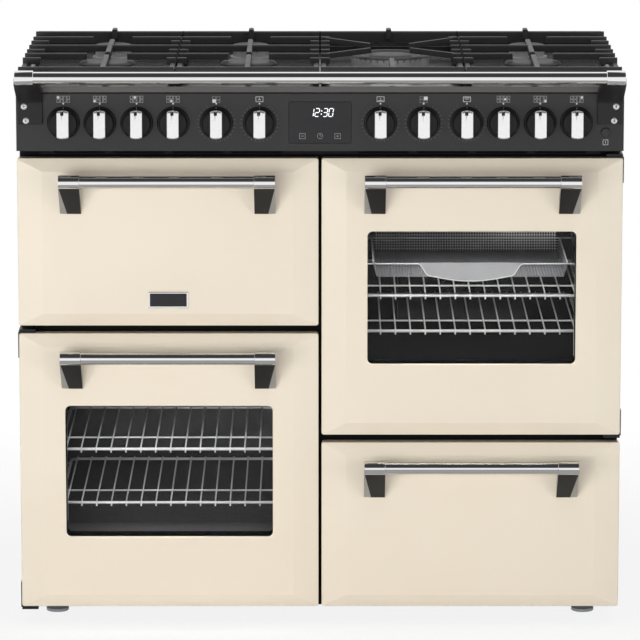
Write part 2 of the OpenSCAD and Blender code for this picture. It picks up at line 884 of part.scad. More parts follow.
// Knob with trim ring, body, upright grip and spindle, drawn round its axis
module knob() {
    grip_t = knob_reach - ring_t - body_t;
    color("#1d1d1f") {
        translate([0, -ring_gap - ring_t, 0]) rotate([-90, 0, 0]) rotate_extrude()
            polygon([[0, 0], [knob_ring_d / 2 - 2.5, 0], [knob_ring_d / 2, 2],
                [knob_ring_d / 2, ring_t], [0, ring_t]]);
        translate([0, -knob_reach + grip_t, 0]) rotate([-90, 0, 0]) rotate_extrude()
            polygon([[0, 0], [knob_body_d / 2 - 2, 0], [knob_body_d / 2, 2],
                [knob_body_d / 2, body_t - ring_gap - fit], [0, body_t - ring_gap - fit]]);
    }
    color(chrome_col) {
        translate([0, -knob_reach, 0]) rotate([-90, 0, 0]) linear_extrude(grip_t - fit)
            intersection() {
                circle(d = knob_body_d - 1);
                square([grip_w, knob_body_d], center = true);
            }
        translate([0, -ring_gap - eps, 0]) rod_y(spindle_d, ring_gap + sheet + fit + spindle_in);
    }
}

module knob_at(i) {
    at(knob_places[i], 0, knob_z) knob();
}

module gas_knob_1() { knob_at(0); }
module gas_knob_2() { knob_at(1); }
module gas_knob_3() { knob_at(2); }
module gas_knob_4() { knob_at(3); }
module gas_knob_5() { knob_at(4); }
module gas_knob_6() { knob_at(5); }
module gas_knob_7() { knob_at(6); }
module oven_knob_1() { knob_at(7); }
module oven_knob_2() { knob_at(8); }
module oven_knob_3() { knob_at(9); }
module oven_knob_4() { knob_at(10); }
module oven_knob_5() { knob_at(11); }

// Towel rail

module towel_rail() {
    color(chrome_col) at(0, -rail_reach, rail_z) {
        rod_x(rail_d, rail_len - 2 * rail_ferrule_len + 2 * eps);
        for (s = [-1, 1]) translate([s * (rail_len - rail_ferrule_len) / 2, 0, 0])
            rotate([0, 90, 0]) rotate_extrude()
                polygon([[0, -rail_ferrule_len / 2], [rail_ferrule_d / 2 - 1, -rail_ferrule_len / 2],
                    [rail_ferrule_d / 2, 1 - rail_ferrule_len / 2],
                    [rail_ferrule_d / 2, rail_ferrule_len / 2 - 1],
                    [rail_ferrule_d / 2 - 1, rail_ferrule_len / 2], [0, rail_ferrule_len / 2]]);
    }
}

// Strap with a flat foot on the control panel and an arm that rises forward to the rail
module rail_bracket() {
    foot_z = fascia_top - 50;
    arm_z = fascia_top - 14;
    color("#1d1d1f") difference() {
        at(bracket_in - bracket_w, 0, 0) rotate([90, 0, 90]) linear_extrude(bracket_w)
            polygon([[-fit, foot_z], [-bracket_t, foot_z], [-bracket_t, arm_z],
                [-bracket_t - 15, arm_z + 9], [-rail_reach - 2, rail_z - 16],
                [-rail_reach - 8, rail_z - 12], [-rail_reach - 8, rail_z - 4],
                [-rail_reach + 14, rail_z - 4], [-bracket_t - 10, fascia_top + 9],
                [-fit, fascia_top - 1]]);
        at(bracket_in, -rail_reach, rail_z) rod_x(rail_ferrule_d + 2 * fit, 3 * bracket_w);
        bracket_screw_places(right) rod_y(screw_d + 2 * fit, bracket_t + sheet + 2);
    }
    color(chrome_col) bracket_screw_places(right) {
        translate([0, 1 - fit / 2 - screw_head_t, 0]) rod_y(screw_head_d, screw_head_t);
        translate([0, -fit, 0]) rod_y(screw_d, bracket_t + sheet + 2);
    }
}

module bracket_screw_places(side) {
    for (p = [[7.5, 20.5], [10.5, 44]])
        at(side * (bracket_in - p[0]), -bracket_t - 1, fascia_top - p[1]) children();
}

module rail_brackets() {
    rail_bracket();
    mirror([1, 0, 0]) rail_bracket();
}

// Hob

front_burners = [[-outer_burner_x, front_burner_depth, front_cap_d],
                 [-inner_burner_x, front_burner_depth, front_cap_d],
                 [outer_burner_x, front_burner_depth, front_cap_d]];
rear_burners = [[-outer_burner_x, rear_burner_depth, rear_cap_d],
                [-inner_burner_x, rear_burner_depth, rear_cap_d],
                [outer_burner_x, rear_burner_depth, rear_cap_d]];
burners = concat(front_burners, rear_burners);
wok = [inner_burner_x, wok_depth, wok_d];

module hob_tray() {
    rim = 9;
    well_w = body_w - 2 * (support_side - 2 * fit);
    flue_d = body_d - support_front - support_len - 14;
    color(enamel_black) difference() {
        at(0, sheet, fascia_top + fit) slab(body_w, body_d - sheet, rim_h - fit);
        at(0, sheet + rim, well_z) slab(well_w, body_d - rim - flue_d, rim_h);
        at(0, 2 * sheet + rim, fascia_top - 1)
            slab(well_w - 2 * rim, body_d - 3 * sheet - 2 * rim, well_z - tray_floor_t - fascia_top + 1);
        for (b = concat(burners, [wok]))
            at(b[0], b[1], fascia_top - 1) cylinder(d = b[2] - cup_in + 2 * fit, h = 3 * rim_h);
        for (i = [-7 : 7])
            at(i * 56, body_d - flue_d / 2 - 5, fascia_top - 1) slab(40, 6, 2 * rim_h);
    }
}

// Cup let into the tray, with a flange on it and a toothed crown that the flame leaves through
module burner_body(d) {
    flange_d = d + 4;
    teeth = round(d / 3.2);
    translate([0, 0, -cup_h]) cylinder(d = d - cup_in, h = cup_h + 1);
    cylinder(d = flange_d, h = 3);
    difference() {
        translate([0, 0, 3 - eps]) cylinder(d = d - 6, h = crown_h - 3);
        for (a = [0 : teeth - 1]) rotate([0, 0, a * 360 / teeth])
            translate([d / 2 - 10, -0.8, crown_h - 5]) cube([10, 1.6, 6]);
    }
}

module burner_bodies() {
    color("#b9bbbe") {
        for (b = burners) at(b[0], b[1], well_z) burner_body(b[2]);
        at(wok[0], wok[1], well_z) {
            burner_body(wok_cap_d);
            difference() {
                translate([0, 0, -cup_h]) cylinder(d = wok_d - cup_in, h = cup_h + 1);
                translate([0, 0, -cup_h + 3]) cylinder(d = wok_d - cup_in - 6, h = cup_h + 1);
            }
            difference() {
                cylinder(d = wok_d + 4, h = crown_h + 2);
                translate([0, 0, -1]) cylinder(d = wok_d - 24, h = crown_h + 4);
                for (a = [0 : 35]) rotate([0, 0, a * 10])
                    translate([wok_d / 2 - 8, -0.9, crown_h - 3]) cube([14, 1.8, 6]);
            }
            for (a = [0 : 2]) rotate([0, 0, 30 + a * 120])
                translate([0, -6, 0]) cube([wok_d / 2 - 8, 12, 5]);
        }
    }
}

module cap(d) {
    t = 7;
    rotate_extrude() polygon([[0, 0], [d / 2 - 1, 0], [d / 2, 1], [d / 2, 3], [d / 2 - 4, t - 1],
        [d / 2 - 9, t], [0, t]]);
}

module burner_caps() {
    cap_z = well_z + crown_h + fit;
    color("#202022") {
        for (b = burners) at(b[0], b[1], cap_z) cap(b[2]);
        at(wok[0], wok[1], cap_z) cap(wok_cap_d);
        at(wok[0], wok[1], well_z + crown_h + 2 + fit) rotate_extrude()
            polygon([[wok_d / 2 - 12, 0], [wok_d / 2 + 2, 0], [wok_d / 2 + 2, 2],
                [wok_d / 2 - 2, 5], [wok_d / 2 - 9, 5], [wok_d / 2 - 12, 2.5]]);
    }
}

// A spark electrode and a flame sensor beside every burner
module spark_electrodes() {
    color("#e8e6e0") for (b = concat(burners, [wok]), a = [electrode_turn, 180 - electrode_turn])
        at(b[0], b[1], well_z) rotate([0, 0, a]) translate([b[2] / 2 + 7, 0, fit - eps]) {
            cylinder(d = 7, h = 10);
            cylinder(d = 2.6, h = crown_h + 3);
        }
}

// Bar from x0 to x1 at a depth, with bevelled upper edges
module cross_bar(x0, x1, depth, top, h) {
    w = bar_w / 2;
    at(x0, depth, top) rotate([90, 0, 90]) linear_extrude(x1 - x0)
        polygon([[-w, -h], [w, -h], [w, -2], [w - 1.5, 0], [1.5 - w, 0], [-w, -2]]);
}

// Bar from one depth to another at an x
module long_bar(x, d0, d1, top, h) {
    w = bar_w / 2;
    at(x, d1, top) rotate([90, 0, 0]) linear_extrude(d1 - d0)
        polygon([[-w, -h], [w, -h], [w, -2], [w - 1.5, 0], [1.5 - w, 0], [-w, -2]]);
}

// Reach of the stubs at a pan support's left (-1) or right (1) side
function reach(x, side) = side * x > inner_x + 1 ? outer_stub : inner_stub;

// Low side rails, feet, front and back bars and the short stubs that both kinds share
module support_frame(x, w, burner_x, stubs) {
    x0 = x - w / 2;
    x1 = x + w / 2;
    last = len(support_y) - 1;
    front = support_y[0];
    back = support_y[last];
    for (s = [x0 + bar_w / 2, x1 - bar_w / 2]) {
        long_bar(s, front, back, support_z - side_drop, side_h);
        for (d = [front + foot_len, back - 2 * foot_len])
            at(s, d, well_z + fit) slab(bar_w, foot_len, support_z - side_drop - 3 - well_z);
    }
    for (d = [front, back]) cross_bar(x0, x1, d, support_z, end_h);
    for (i = stubs, s = [[x0, x0 + reach(x, -1)], [x1 - reach(x, 1), x1]])
        cross_bar(s[0], s[1], support_y[i], support_z, bar_h);
    long_bar(burner_x, back - 22, back + bar_w / 2, support_z + stop_rise, bar_h + stop_rise);
}

// Support over a front and a rear burner
module twin_support(x, w, burner_x) {
    x0 = x - w / 2;
    x1 = x + w / 2;
    mid = support_y[4];
    color(iron_col) {
        support_frame(x, w, burner_x, [1, 3, 5]);
        cross_bar(x0, x1, mid, support_z, bar_h);
        for (i = [2, 6]) {
            cross_bar(x0, burner_x - burner_clear, support_y[i], support_z, bar_h);
            cross_bar(burner_x + burner_clear, x1, support_y[i], support_z, bar_h);
        }
        long_bar(burner_x, support_y[0], support_y[2] - burner_clear / 2, support_z, bar_h);
        long_bar(burner_x, support_y[2] + burner_clear / 2, mid, support_z, bar_h);
        long_bar(burner_x, mid, support_y[6] - burner_clear, support_z, bar_h);
    }
}

// Support over the wok burner: four thin bars slant in from the side rails
module wok_support(x, w) {
    finger = 5;
    color(iron_col) {
        support_frame(x, w, wok[0], [1, 2, 3, 4, 5, 6]);
        long_bar(wok[0], support_y[0], support_y[1], support_z, bar_h);
        for (sx = [-1, 1], sy = [-1, 1])
            wok_finger([x + sx * (w / 2 - bar_w / 2), sy < 0 ? support_y[2] : support_y[6]],
                       [wok[0] + sx * burner_clear, wok[1] + sy * burner_clear * 0.9], finger);
    }
}

// Thin upright bar between two points given as x and depth
module wok_finger(a, b, t) {
    dx = b[0] - a[0];
    dy = b[1] - a[1];
    run = sqrt(dx * dx + dy * dy);
    at(a[0], a[1], support_z - bar_h + 1) rotate([0, 0, atan2(dy, dx)])
        translate([0, -t / 2, 0]) cube([run, t, bar_h - 1.6]);
}

module pan_support_1() { twin_support(-outer_x, outer_support_w, -outer_burner_x); }
module pan_support_2() { twin_support(-inner_x, inner_support_w, -inner_burner_x); }
module pan_support_3() { wok_support(inner_x, inner_support_w); }
module pan_support_4() { twin_support(outer_x, outer_support_w, outer_burner_x); }

// Oven contents

module wire_y(d, len, sides = 8) {
    rotate([-90, 0, 0]) cylinder(d = d, h = len, $fn = sides);
}

module wire_x(d, len, sides = 8) {
    rotate([0, 90, 0]) cylinder(d = d, h = len, center = true, $fn = sides);
}

// Wire shelf: a frame of four wires, a second front bar and the cross wires
module shelf(side, z) {
    n = floor((rung_x - frame_wire) / wire_pitch);
    at(side * column_x, shelf_front, z) {
        for (y = [0, second_bar, shelf_len]) translate([0, y, 0]) wire_x(frame_wire, shelf_w);
        for (s = [-1, 1]) translate([s * rung_x, 0, 0]) wire_y(frame_wire, shelf_len);
        for (i = [-n : n]) translate([i * wire_pitch, 0, 1]) wire_y(cross_wire, shelf_len, 6);
    }
}

// Side rack of one oven wall: two uprights and the rungs the shelves slide on
module ladder(side, wall, floor_z, h, rungs) {
    for (depth = [shelf_front + 30, shelf_front + shelf_len - 30])
        at(side * column_x + wall * ladder_x, depth, floor_z + 20)
            cylinder(d = cross_wire, h = h - 40, $fn = 8);
    for (z = rungs)
        at(side * column_x, shelf_front + 10, floor_z + z - frame_wire / 2 - fit - cross_wire / 2)
            ladder_rung(wall);
}

module ladder_rung(wall) {
    len = shelf_len - 20;
    translate([wall * rung_x, 0, 0]) wire_y(cross_wire, len);
    for (y = [20, len - 20])
        translate([wall * (rung_x + ladder_x) / 2, y, 0]) wire_x(cross_wire, ladder_x - rung_x);
}

module oven_racks() {
    color(chrome_col) {
        for (z = main_shelf_z) shelf(left, main_floor + z);
        for (z = fan_shelf_z) shelf(right, fan_floor + z);
        shelf(right, slow_floor + slow_shelf_z);
        for (wall = [-1, 1]) {
            ladder(left, wall, main_floor, tall_cavity_h, concat(main_shelf_z, [tall_top_rung]));
            ladder(right, wall, fan_floor, tall_cavity_h,
                   concat(fan_shelf_z, [basket_z, tall_top_rung]));
            ladder(right, wall, slow_floor, short_cavity_h, [slow_shelf_z, short_top_rung]);
            ladder(left, wall, grill_floor, short_cavity_h, [grill_pan_z, short_top_rung]);
        }
    }
}

// Perforated basket hung between the side racks, with a curved plate in front
module fryer_basket() {
    t = 1.2;
    pitch = 20;
    hole = [6, 12];
    nx = floor((basket_w - 20) / pitch / 2);
    ny = floor((basket_len - 20) / pitch / 2);
    color("#9b9da0") at(right * column_x, shelf_front, fan_floor + basket_z) {
        difference() {
            translate([0, 0, -basket_h]) slab(basket_w, basket_len, basket_h);
            translate([0, t, t - basket_h]) slab(basket_w - 2 * t, basket_len - 2 * t, basket_h);
            translate([0, basket_len / 2, -basket_h - 1]) linear_extrude(3)
                for (i = [-nx : nx], j = [-ny : ny])
                    translate([i * pitch, j * pitch]) square(hole, center = true);
            translate([0, -1, -basket_h / 2]) rotate([-90, 0, 0]) linear_extrude(basket_len + 2)
                for (i = [-nx : nx]) translate([i * pitch, 0]) square(hole, center = true);
        }
        for (s = [-1, 1]) translate([s * rung_x, 0, 0]) wire_y(frame_wire, basket_len);
        for (y = [0, basket_len]) translate([0, y, 0]) wire_x(frame_wire, shelf_w);
    }
    color("#85878a") at(right * column_x, shelf_front - frame_wire / 2, fan_floor + basket_z)
        rotate([90, 0, 0]) linear_extrude(t) basket_plate_outline();
}

// Straight top, shallow arc below, and ends that sweep up to the rim in an S
module basket_plate_outline() {
    half = basket_plate_w / 2;
    turn = half - 18;
    side_drop = basket_plate_drop * 0.68;
    function lower(x) = x < turn
        ? side_drop + (basket_plate_drop - side_drop) * cos(90 * x / turn)
        : side_drop * (1 + cos(180 * (x - turn) / (half - turn))) / 2;
    polygon(concat([[half, 2], [-half, 2]],
                   [for (i = [-30 : 30]) let(x = half * i / 30) [x, -lower(abs(x))]]));
}

// Looped heating element under the grill's roof, held by two hangers
module grill_element() {
    roof = grill_floor + short_cavity_h;
    z = roof - element_drop;
    r = element_r;
    len = element_len;
    depth = cavity_front + len / 4;
    color("#6f6a66") {
        at(left * column_x, depth, z) for (i = [-3 : 3]) {
            translate([i * 2 * r, 0, 0]) rod_y(element_d, len);
            if (i < 3) translate([(i + 0.5) * 2 * r, i % 2 == 0 ? len : 0, 0])
                rotate([0, 0, i % 2 == 0 ? 0 : 180]) rotate_extrude(angle = 180)
                    translate([r, 0]) circle(d = element_d, $fn = 24);
        }
        for (y = [len / 4, len * 3 / 4]) at(left * column_x, depth + y, z) {
            translate([0, -1, 0]) slab(6 * r + 10, 2, roof - fit - z);
            translate([0, -1, 0]) slab(6 * 2 * r + 12, 2, 8);
        }
    }
}

module grill_pan() {
    rim = 8;
    h = 34;
    t = 1.5;
    body = [shelf_w - 2 * rim, shelf_len - 2 * rim];
    color("#2a2a2c")
        at(left * column_x, shelf_front, grill_floor + grill_pan_z - frame_wire / 2) difference() {
            union() {
                slab(shelf_w, shelf_len, 2);
                translate([0, rim, 2 - h]) slab(body[0], body[1], h);
            }
            translate([0, rim + t, 2 - h + t]) slab(body[0] - 2 * t, body[1] - 2 * t, h);
        }
}

// Hub and blades on their shaft
module convection_fan() {
    h = fan_h;
    rear = fan_rear_gap + sheet + h;
    color("#a9abad") at(right * column_x, cavity_back - fan_rear_gap - h, fan_z) {
        rotate([-90, 0, 0]) for (a = [0 : fan_blades - 1]) rotate([0, 0, a * 360 / fan_blades])
            translate([fan_hub_d * 0.4, 0, 0]) rotate([0, 0, 18])
                cube([fan_d / 2 - fan_hub_d * 0.47, 1.5, h]);
        translate([0, h - 2, 0]) rod_y(fan_d - 8, 2);
        rod_y(fan_hub_d, h);
        rod_y(shaft_d, h + rear);
    }
}

// Pressed cover with rings of slots in front of the fan
module fan_cover() {
    w = 230;
    t = 1.5;
    color("#2a2a2c") at(right * column_x, cavity_back - cover_depth, fan_z - w / 2) difference() {
        slab(w, cover_depth - fit, w);
        translate([0, t, t]) slab(w - 2 * t, cover_depth, w - 2 * t);
        translate([0, -1, w / 2]) rotate([-90, 0, 0]) linear_extrude(t + 2)
            for (ring = [[26, 12], [44, 20], [62, 28], [80, 36]], k = [0 : ring[1] - 1])
                rotate(k * 360 / ring[1]) translate([ring[0], 0]) square([12, 5], center = true);
    }
}

module fan_motor() {
    color("#8a8c90") difference() {
        at(right * column_x, cavity_back + sheet + fit, fan_z) {
            rod_y(motor_d, 3);
            rod_y(motor_d * 0.8, motor_len);
            rod_y(motor_d * 0.35, motor_len + 6);
        }
        at(right * column_x, cavity_back, fan_z) rod_y(shaft_d + 2 * fit, motor_len * 0.6);
    }
}

side_panels();
back_panel();
chassis();
front_frame();
insulation();
door_seals();
feet();
fascia();
clock_panel();
push_button();
taps_and_switches();
gas_manifold();
towel_rail();
rail_brackets();
door_hinges();
hob_tray();
burner_bodies();
burner_caps();
spark_electrodes();
pan_support_1();
pan_support_2();
pan_support_3();
pan_support_4();
grill_cavity();
main_oven_cavity();
fan_oven_cavity();
slow_cook_cavity();
grill_element();
grill_pan();
oven_racks();
fryer_basket();
convection_fan();
fan_cover();
fan_motor();
gas_knob_1();
gas_knob_2();
gas_knob_3();
gas_knob_4();
gas_knob_5();
gas_knob_6();
gas_knob_7();
oven_knob_1();
oven_knob_2();
oven_knob_3();
oven_knob_4();
oven_knob_5();
grill_door_panel();
grill_door_liner();
grill_door_handle();
main_door_panel();
main_door_liner();
main_door_glass();
main_door_handle();
fan_door_panel();
fan_door_liner();
fan_door_glass();
fan_door_handle();
slow_door_panel();
slow_door_liner();
slow_door_handle();
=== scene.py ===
# %% [markdown]
# # Dressing a dual fuel range cooker
# The cooker's construction is already made: sheet-steel carcass, four oven doors, a control panel
# with twelve knobs and a gas hob. This lesson gives it its looks. Flat CAD pieces that are right as
# they are only get a material. Pieces whose edges, curves or small parts catch the eye, such as the
# enamelled doors, the chrome bars, the knobs and the wire shelves, are modelled again in place.

import math

import bmesh
import bpy
import numpy as np
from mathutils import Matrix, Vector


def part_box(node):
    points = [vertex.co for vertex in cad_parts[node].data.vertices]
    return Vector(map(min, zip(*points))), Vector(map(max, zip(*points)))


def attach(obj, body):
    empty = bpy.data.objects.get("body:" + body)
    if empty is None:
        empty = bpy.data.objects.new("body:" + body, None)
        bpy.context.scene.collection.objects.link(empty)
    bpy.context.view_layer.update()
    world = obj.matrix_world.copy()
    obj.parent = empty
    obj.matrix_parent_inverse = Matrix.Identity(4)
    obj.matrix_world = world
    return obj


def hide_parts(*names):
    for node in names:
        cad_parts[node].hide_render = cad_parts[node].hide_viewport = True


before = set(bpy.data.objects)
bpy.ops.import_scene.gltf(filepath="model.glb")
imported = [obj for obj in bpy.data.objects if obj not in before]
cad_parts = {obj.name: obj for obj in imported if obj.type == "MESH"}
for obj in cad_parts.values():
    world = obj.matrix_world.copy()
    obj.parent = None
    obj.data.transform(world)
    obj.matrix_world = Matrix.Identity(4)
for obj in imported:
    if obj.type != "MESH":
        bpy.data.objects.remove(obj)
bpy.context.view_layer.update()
MM = 0.001
LEFT, RIGHT = -1, 1
X_AXIS, Y_AXIS, Z_AXIS = np.eye(3)

# %% [markdown]
# ## Measures
# Everything is placed from the construction, so that a piece still fits when a size changes. The
# door faces lie in one plane, which is the zero for all depths. Sizes are in mm and places in
# metres: a size becomes metres where it is multiplied by MM.

# %% Measures that several pieces share
def node_box(node):
    """Lowest and highest corner of a construction node, as arrays in metres."""
    low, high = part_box(node)
    return np.array(low), np.array(high)


def half_size(node):
    """Half of a node's size along x, y and z, in mm."""
    low, high = node_box(node)
    return (high - low) / 2 / MM


def face_middle(node):
    """Middle of a node as seen from the front, on the plane of the door faces."""
    low, high = node_box(node)
    return np.array([(low[0] + high[0]) / 2, door_face_y, (low[2] + high[2]) / 2])


def behind_doors(depth):
    """The y of a depth in mm behind the door faces."""
    return door_face_y + depth * MM


door_face_y = node_box("main_door_panel")[0][1]
fascia_low, fascia_high = node_box("fascia")
DOORS = {"grill": "grill_door", "main": "main_oven_door", "fan": "fan_oven_door",
         "slow": "slow_cook_door"}
HINGE_SIDE = {"main": LEFT, "fan": RIGHT}  # these two swing sideways and have a window
print("door faces at y =", round(float(door_face_y), 4))

# %% [markdown]
# ## Meshes from arrays
# A surface here is a grid of points, a stack of layers with the same number of points in each. Its
# quads follow from those two counts alone, so one function makes the faces of every turned, lofted,
# drawn or swept piece. Another turns lists of such parts into one object.

# %% Grids and objects
def grid_faces(rows, columns, wrap_columns=True, wrap_rows=False):
    """Quads of a grid: each joins a point to its neighbours in the next column and the next row."""
    row, column = np.meshgrid(np.arange(rows if wrap_rows else rows - 1),
                              np.arange(columns if wrap_columns else columns - 1), indexing="ij")
    next_row, next_column = (row + 1) % rows, (column + 1) % columns
    corners = [row * columns + column, row * columns + next_column,
               next_row * columns + next_column, next_row * columns + column]
    return np.stack(corners, axis=-1).reshape(-1, 4).tolist()


def skin(layers, closed_loop=False):
    """Points and faces over layers (layer, point, xyz): a closed loop, or two flat end faces."""
    layers = np.asarray(layers, float)
    rows, columns = layers.shape[:2]
    faces = grid_faces(rows, columns, wrap_rows=closed_loop)
    if not closed_loop:
        last = (rows - 1) * columns
        faces += [list(range(columns)), list(range(last, last + columns))]
    return layers.reshape(-1, 3), faces


def work_on(mesh, *steps, source=None):
    """Runs editing steps on a mesh, or on a source mesh, and writes the result to the mesh."""
    solid = bmesh.new()
    solid.from_mesh(source or mesh)
    for step in steps:
        step(solid)
    solid.to_mesh(mesh)
    solid.free()


def turn_outward(solid):
    """Step: lets all faces look outwards."""
    bmesh.ops.recalc_face_normals(solid, faces=solid.faces)


def merge_points(distance):
    """Step: points closer than a distance in metres become one."""
    return lambda solid: bmesh.ops.remove_doubles(solid, verts=solid.verts, dist=distance)


def join_flat(degrees):
    """Step: faces that meet at less than an angle become one."""
    return lambda solid: bmesh.ops.dissolve_limit(
        solid, angle_limit=math.radians(degrees), verts=solid.verts, edges=solid.edges)


def drop_loose(solid):
    """Step: deletes points without a face."""
    loose = [vert for vert in solid.verts if not vert.link_faces]
    bmesh.ops.delete(solid, geom=loose, context="VERTS")


def new_mesh(name, points, faces):
    """A mesh whose faces look outwards."""
    mesh = bpy.data.meshes.new(name)
    mesh.from_pydata(points.tolist(), [], faces)
    work_on(mesh, turn_outward)
    return mesh


def make_piece(name, parts, body, replaces=(), slot=None, **shading):
    """One object from parts, each (points, faces, material), riding on a body of the cooker."""
    points, faces, marks, materials = [], [], [], []
    start = 0
    for part_points, part_faces, material in parts:
        if material not in materials:
            materials.append(material)
        points.append(part_points)
        faces.extend([[index + start for index in face] for face in part_faces])
        marks.extend([materials.index(material)] * len(part_faces))
        start += len(part_points)
    mesh = new_mesh(name, np.concatenate(points), faces)
    return finish_piece(name, mesh, marks, materials, body, replaces, slot, **shading)


BEVEL_ANGLE = 35


def finish_piece(name, mesh, marks, materials, body, replaces=(), slot=None, sharp=35, bevel=0.0,
                 weighted=False):
    """Dresses a mesh, shades it smooth up to an angle in degrees and rounds its edges by bevel."""
    mesh.polygons.foreach_set("material_index", marks)
    for material in materials:
        mesh.materials.append(material)
    mesh.shade_smooth()
    mesh.set_sharp_from_angle(angle=math.radians(sharp))
    piece = bpy.data.objects.new(name, mesh)
    bpy.context.scene.collection.objects.link(piece)
    if bevel:
        rounding = piece.modifiers.new("rounded edges", "BEVEL")
        rounding.width, rounding.segments = bevel * MM, 2
        rounding.limit_method, rounding.angle_limit = "ANGLE", math.radians(BEVEL_ANGLE)
        rounding.use_clamp_overlap = True
    if bevel or weighted:
        flat = piece.modifiers.new("flat faces stay flat", "WEIGHTED_NORMAL")
        flat.keep_sharp = not bevel
    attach(piece, body)
    if replaces:
        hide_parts(*replaces)
    return piece


# %% [markdown]
# ## The few forms a cooker is made of
# Turned parts, rounded plates, folded sheets, straight and bent wires cover nearly all of it.

# %% Turned parts, boxes and plates
def revolve(profile, centre, axis=0, steps=48, closed_loop=False):
    """Turns a profile of (distance along the axis, radius) rows, in mm, round an axis.

    A row (a, r) becomes the circle centre + a along the axis + r (cos t, sin t) across it.
    """
    profile = np.asarray(profile, float) * MM
    turn = np.linspace(0, 2 * np.pi, steps, endpoint=False)
    along, across, up = np.roll(np.eye(3), -axis, axis=0)
    ring = np.cos(turn)[:, None] * across + np.sin(turn)[:, None] * up
    layers = centre + profile[:, 0, None, None] * along + profile[:, 1, None, None] * ring
    return skin(layers, closed_loop)


def boxes(lows, highs):
    """Axis-aligned boxes, each from its lowest to its highest corner, in metres."""
    lows, highs = np.atleast_2d(lows), np.atleast_2d(highs)
    pick = np.array([[(i >> k) & 1 for k in range(3)] for i in range(8)])
    points = np.where(pick[None], highs[:, None], lows[:, None]).reshape(-1, 3)
    sides = np.array([[0, 2, 3, 1], [4, 5, 7, 6], [0, 1, 5, 4],
                      [2, 6, 7, 3], [0, 4, 6, 2], [1, 3, 7, 5]])
    return points, (sides + 8 * np.arange(len(lows))[:, None, None]).reshape(-1, 4).tolist()


def repeated(outline, axis, places):
    """A flat outline, in metres and without its axis coordinate, at each place on that axis."""
    return np.stack([np.insert(np.asarray(outline, float), axis, at, axis=1) for at in places])


def drawn(outline, axis, start, end):
    """A flat outline drawn along an axis."""
    return skin(repeated(outline, axis, (start, end)))


def rounded_outline(half_w, half_h, radius, steps=6):
    """Points round a rectangle with round corners, centred: quarter circles set at its corners."""
    quarter = np.linspace(0, np.pi / 2, steps + 1)
    corners = []
    for k, (sx, sz) in enumerate([(1, 1), (-1, 1), (-1, -1), (1, -1)]):
        angle = quarter + k * np.pi / 2
        corners.append(np.column_stack([sx * (half_w - radius) + radius * np.cos(angle),
                                        sz * (half_h - radius) + radius * np.sin(angle)]))
    return np.concatenate(corners)


def ring_loft(rings, centre, closed_loop=False):
    """Skin over rounded rectangles (half width, half height, radius, depth), in mm, at a centre."""
    return skin([np.insert(rounded_outline(half_w, half_h, radius), 1, depth, axis=1) + centre
                 for half_w, half_h, radius, depth in np.asarray(rings, float) * MM], closed_loop)


# %% [markdown]
# A bent wire is a circle carried along its route. All wires of a shelf lie in parallel planes, so
# the direction across that plane serves as one axis of every circle, and the other axis is square
# to it and to the route.

# %% Wires
def wires(routes, across, diameter, sides=8, closed_loop=False):
    """Round wires along routes (wire, point, xyz) in metres, which all lie square to across.

    At each point the circle is r (cos t) across + r (sin t) normal, where the normal is the cross
    product of the route's direction and across.
    """
    routes = np.asarray(routes, float)
    count, length = routes.shape[:2]
    if closed_loop:
        tangent = np.roll(routes, -1, axis=1) - np.roll(routes, 1, axis=1)
    else:
        tangent = np.gradient(routes, axis=1)
    tangent /= np.linalg.norm(tangent, axis=2, keepdims=True)
    normal = np.cross(tangent, across)
    turn = np.linspace(0, 2 * np.pi, sides, endpoint=False)
    circle = np.cos(turn)[:, None] * across + np.sin(turn)[:, None] * normal[:, :, None, :]
    points = routes[:, :, None, :] + diameter * MM / 2 * circle
    step = length * sides
    starts = step * np.arange(count)[:, None, None]
    faces = (np.array(grid_faces(length, sides, wrap_rows=closed_loop)) + starts).reshape(-1, 4)
    caps = (starts + [[[0], [step - sides]]] + np.arange(sides)).reshape(-1, sides)
    return points.reshape(-1, 3), faces.tolist() + ([] if closed_loop else caps.tolist())


# %% [markdown]
# ## Softened copies
# A cast or folded piece never has razor edges: light runs along a small radius there. Where the
# construction's form is right, a copy of it is merged, its flat triangles are joined into faces,
# and a narrow bevel rounds its edges.

# %% Copy a construction node with rounded edges
def vectors(items, field):
    """A field of a mesh's points or faces, such as co or normal, as rows of x, y and z."""
    values = np.zeros(len(items) * 3)
    items.foreach_get(field, values)
    return values.reshape(-1, 3)


def softened(node, body, width, materials, slot, chosen=None):
    """Copy of a node with its edges rounded by width.

    chosen(centres, normals) may give every face's place in the list of materials.
    """
    mesh = bpy.data.meshes.new(node + "_soft")
    work_on(mesh, merge_points(1e-6), join_flat(0.6), source=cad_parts[node].data)
    marks = np.zeros(len(mesh.polygons), int)
    if chosen:
        marks[:] = chosen(vectors(mesh.polygons, "center"), vectors(mesh.polygons, "normal"))
    return finish_piece(node + "_soft", mesh, marks, materials, body, [node], slot, bevel=width)


# %% [markdown]
# ## Materials
# Colours are written as sRGB hex and turned to linear once. One function adds a node with its
# settings, values and links; a few short ones name the combinations that come back. Patterns are
# scaled from real millimetres on Object coordinates, which are metres here because every object
# sits unscaled at the origin.

# %% Node and colour helpers
def linear(code):
    """sRGB hex to a linear colour: c / 12.92 below 0.04045, else ((c + 0.055) / 1.055) ** 2.4."""
    part = np.array([int(code[k:k + 2], 16) for k in (1, 3, 5)]) / 255
    flat = np.where(part <= 0.04045, part / 12.92, ((part + 0.055) / 1.055) ** 2.4)
    return [*flat, 1.0]


def add(tree, kind, inputs=(), links=(), **settings):
    """Adds a node, gives it its settings, sets the inputs' values and links outputs to inputs."""
    node = tree.nodes.new(kind)
    for name, value in settings.items():
        setattr(node, name, value)
    for socket, value in dict(inputs).items():
        node.inputs[socket].default_value = value
    for socket, output in dict(links).items():
        tree.links.new(output, node.inputs[socket])
    return node


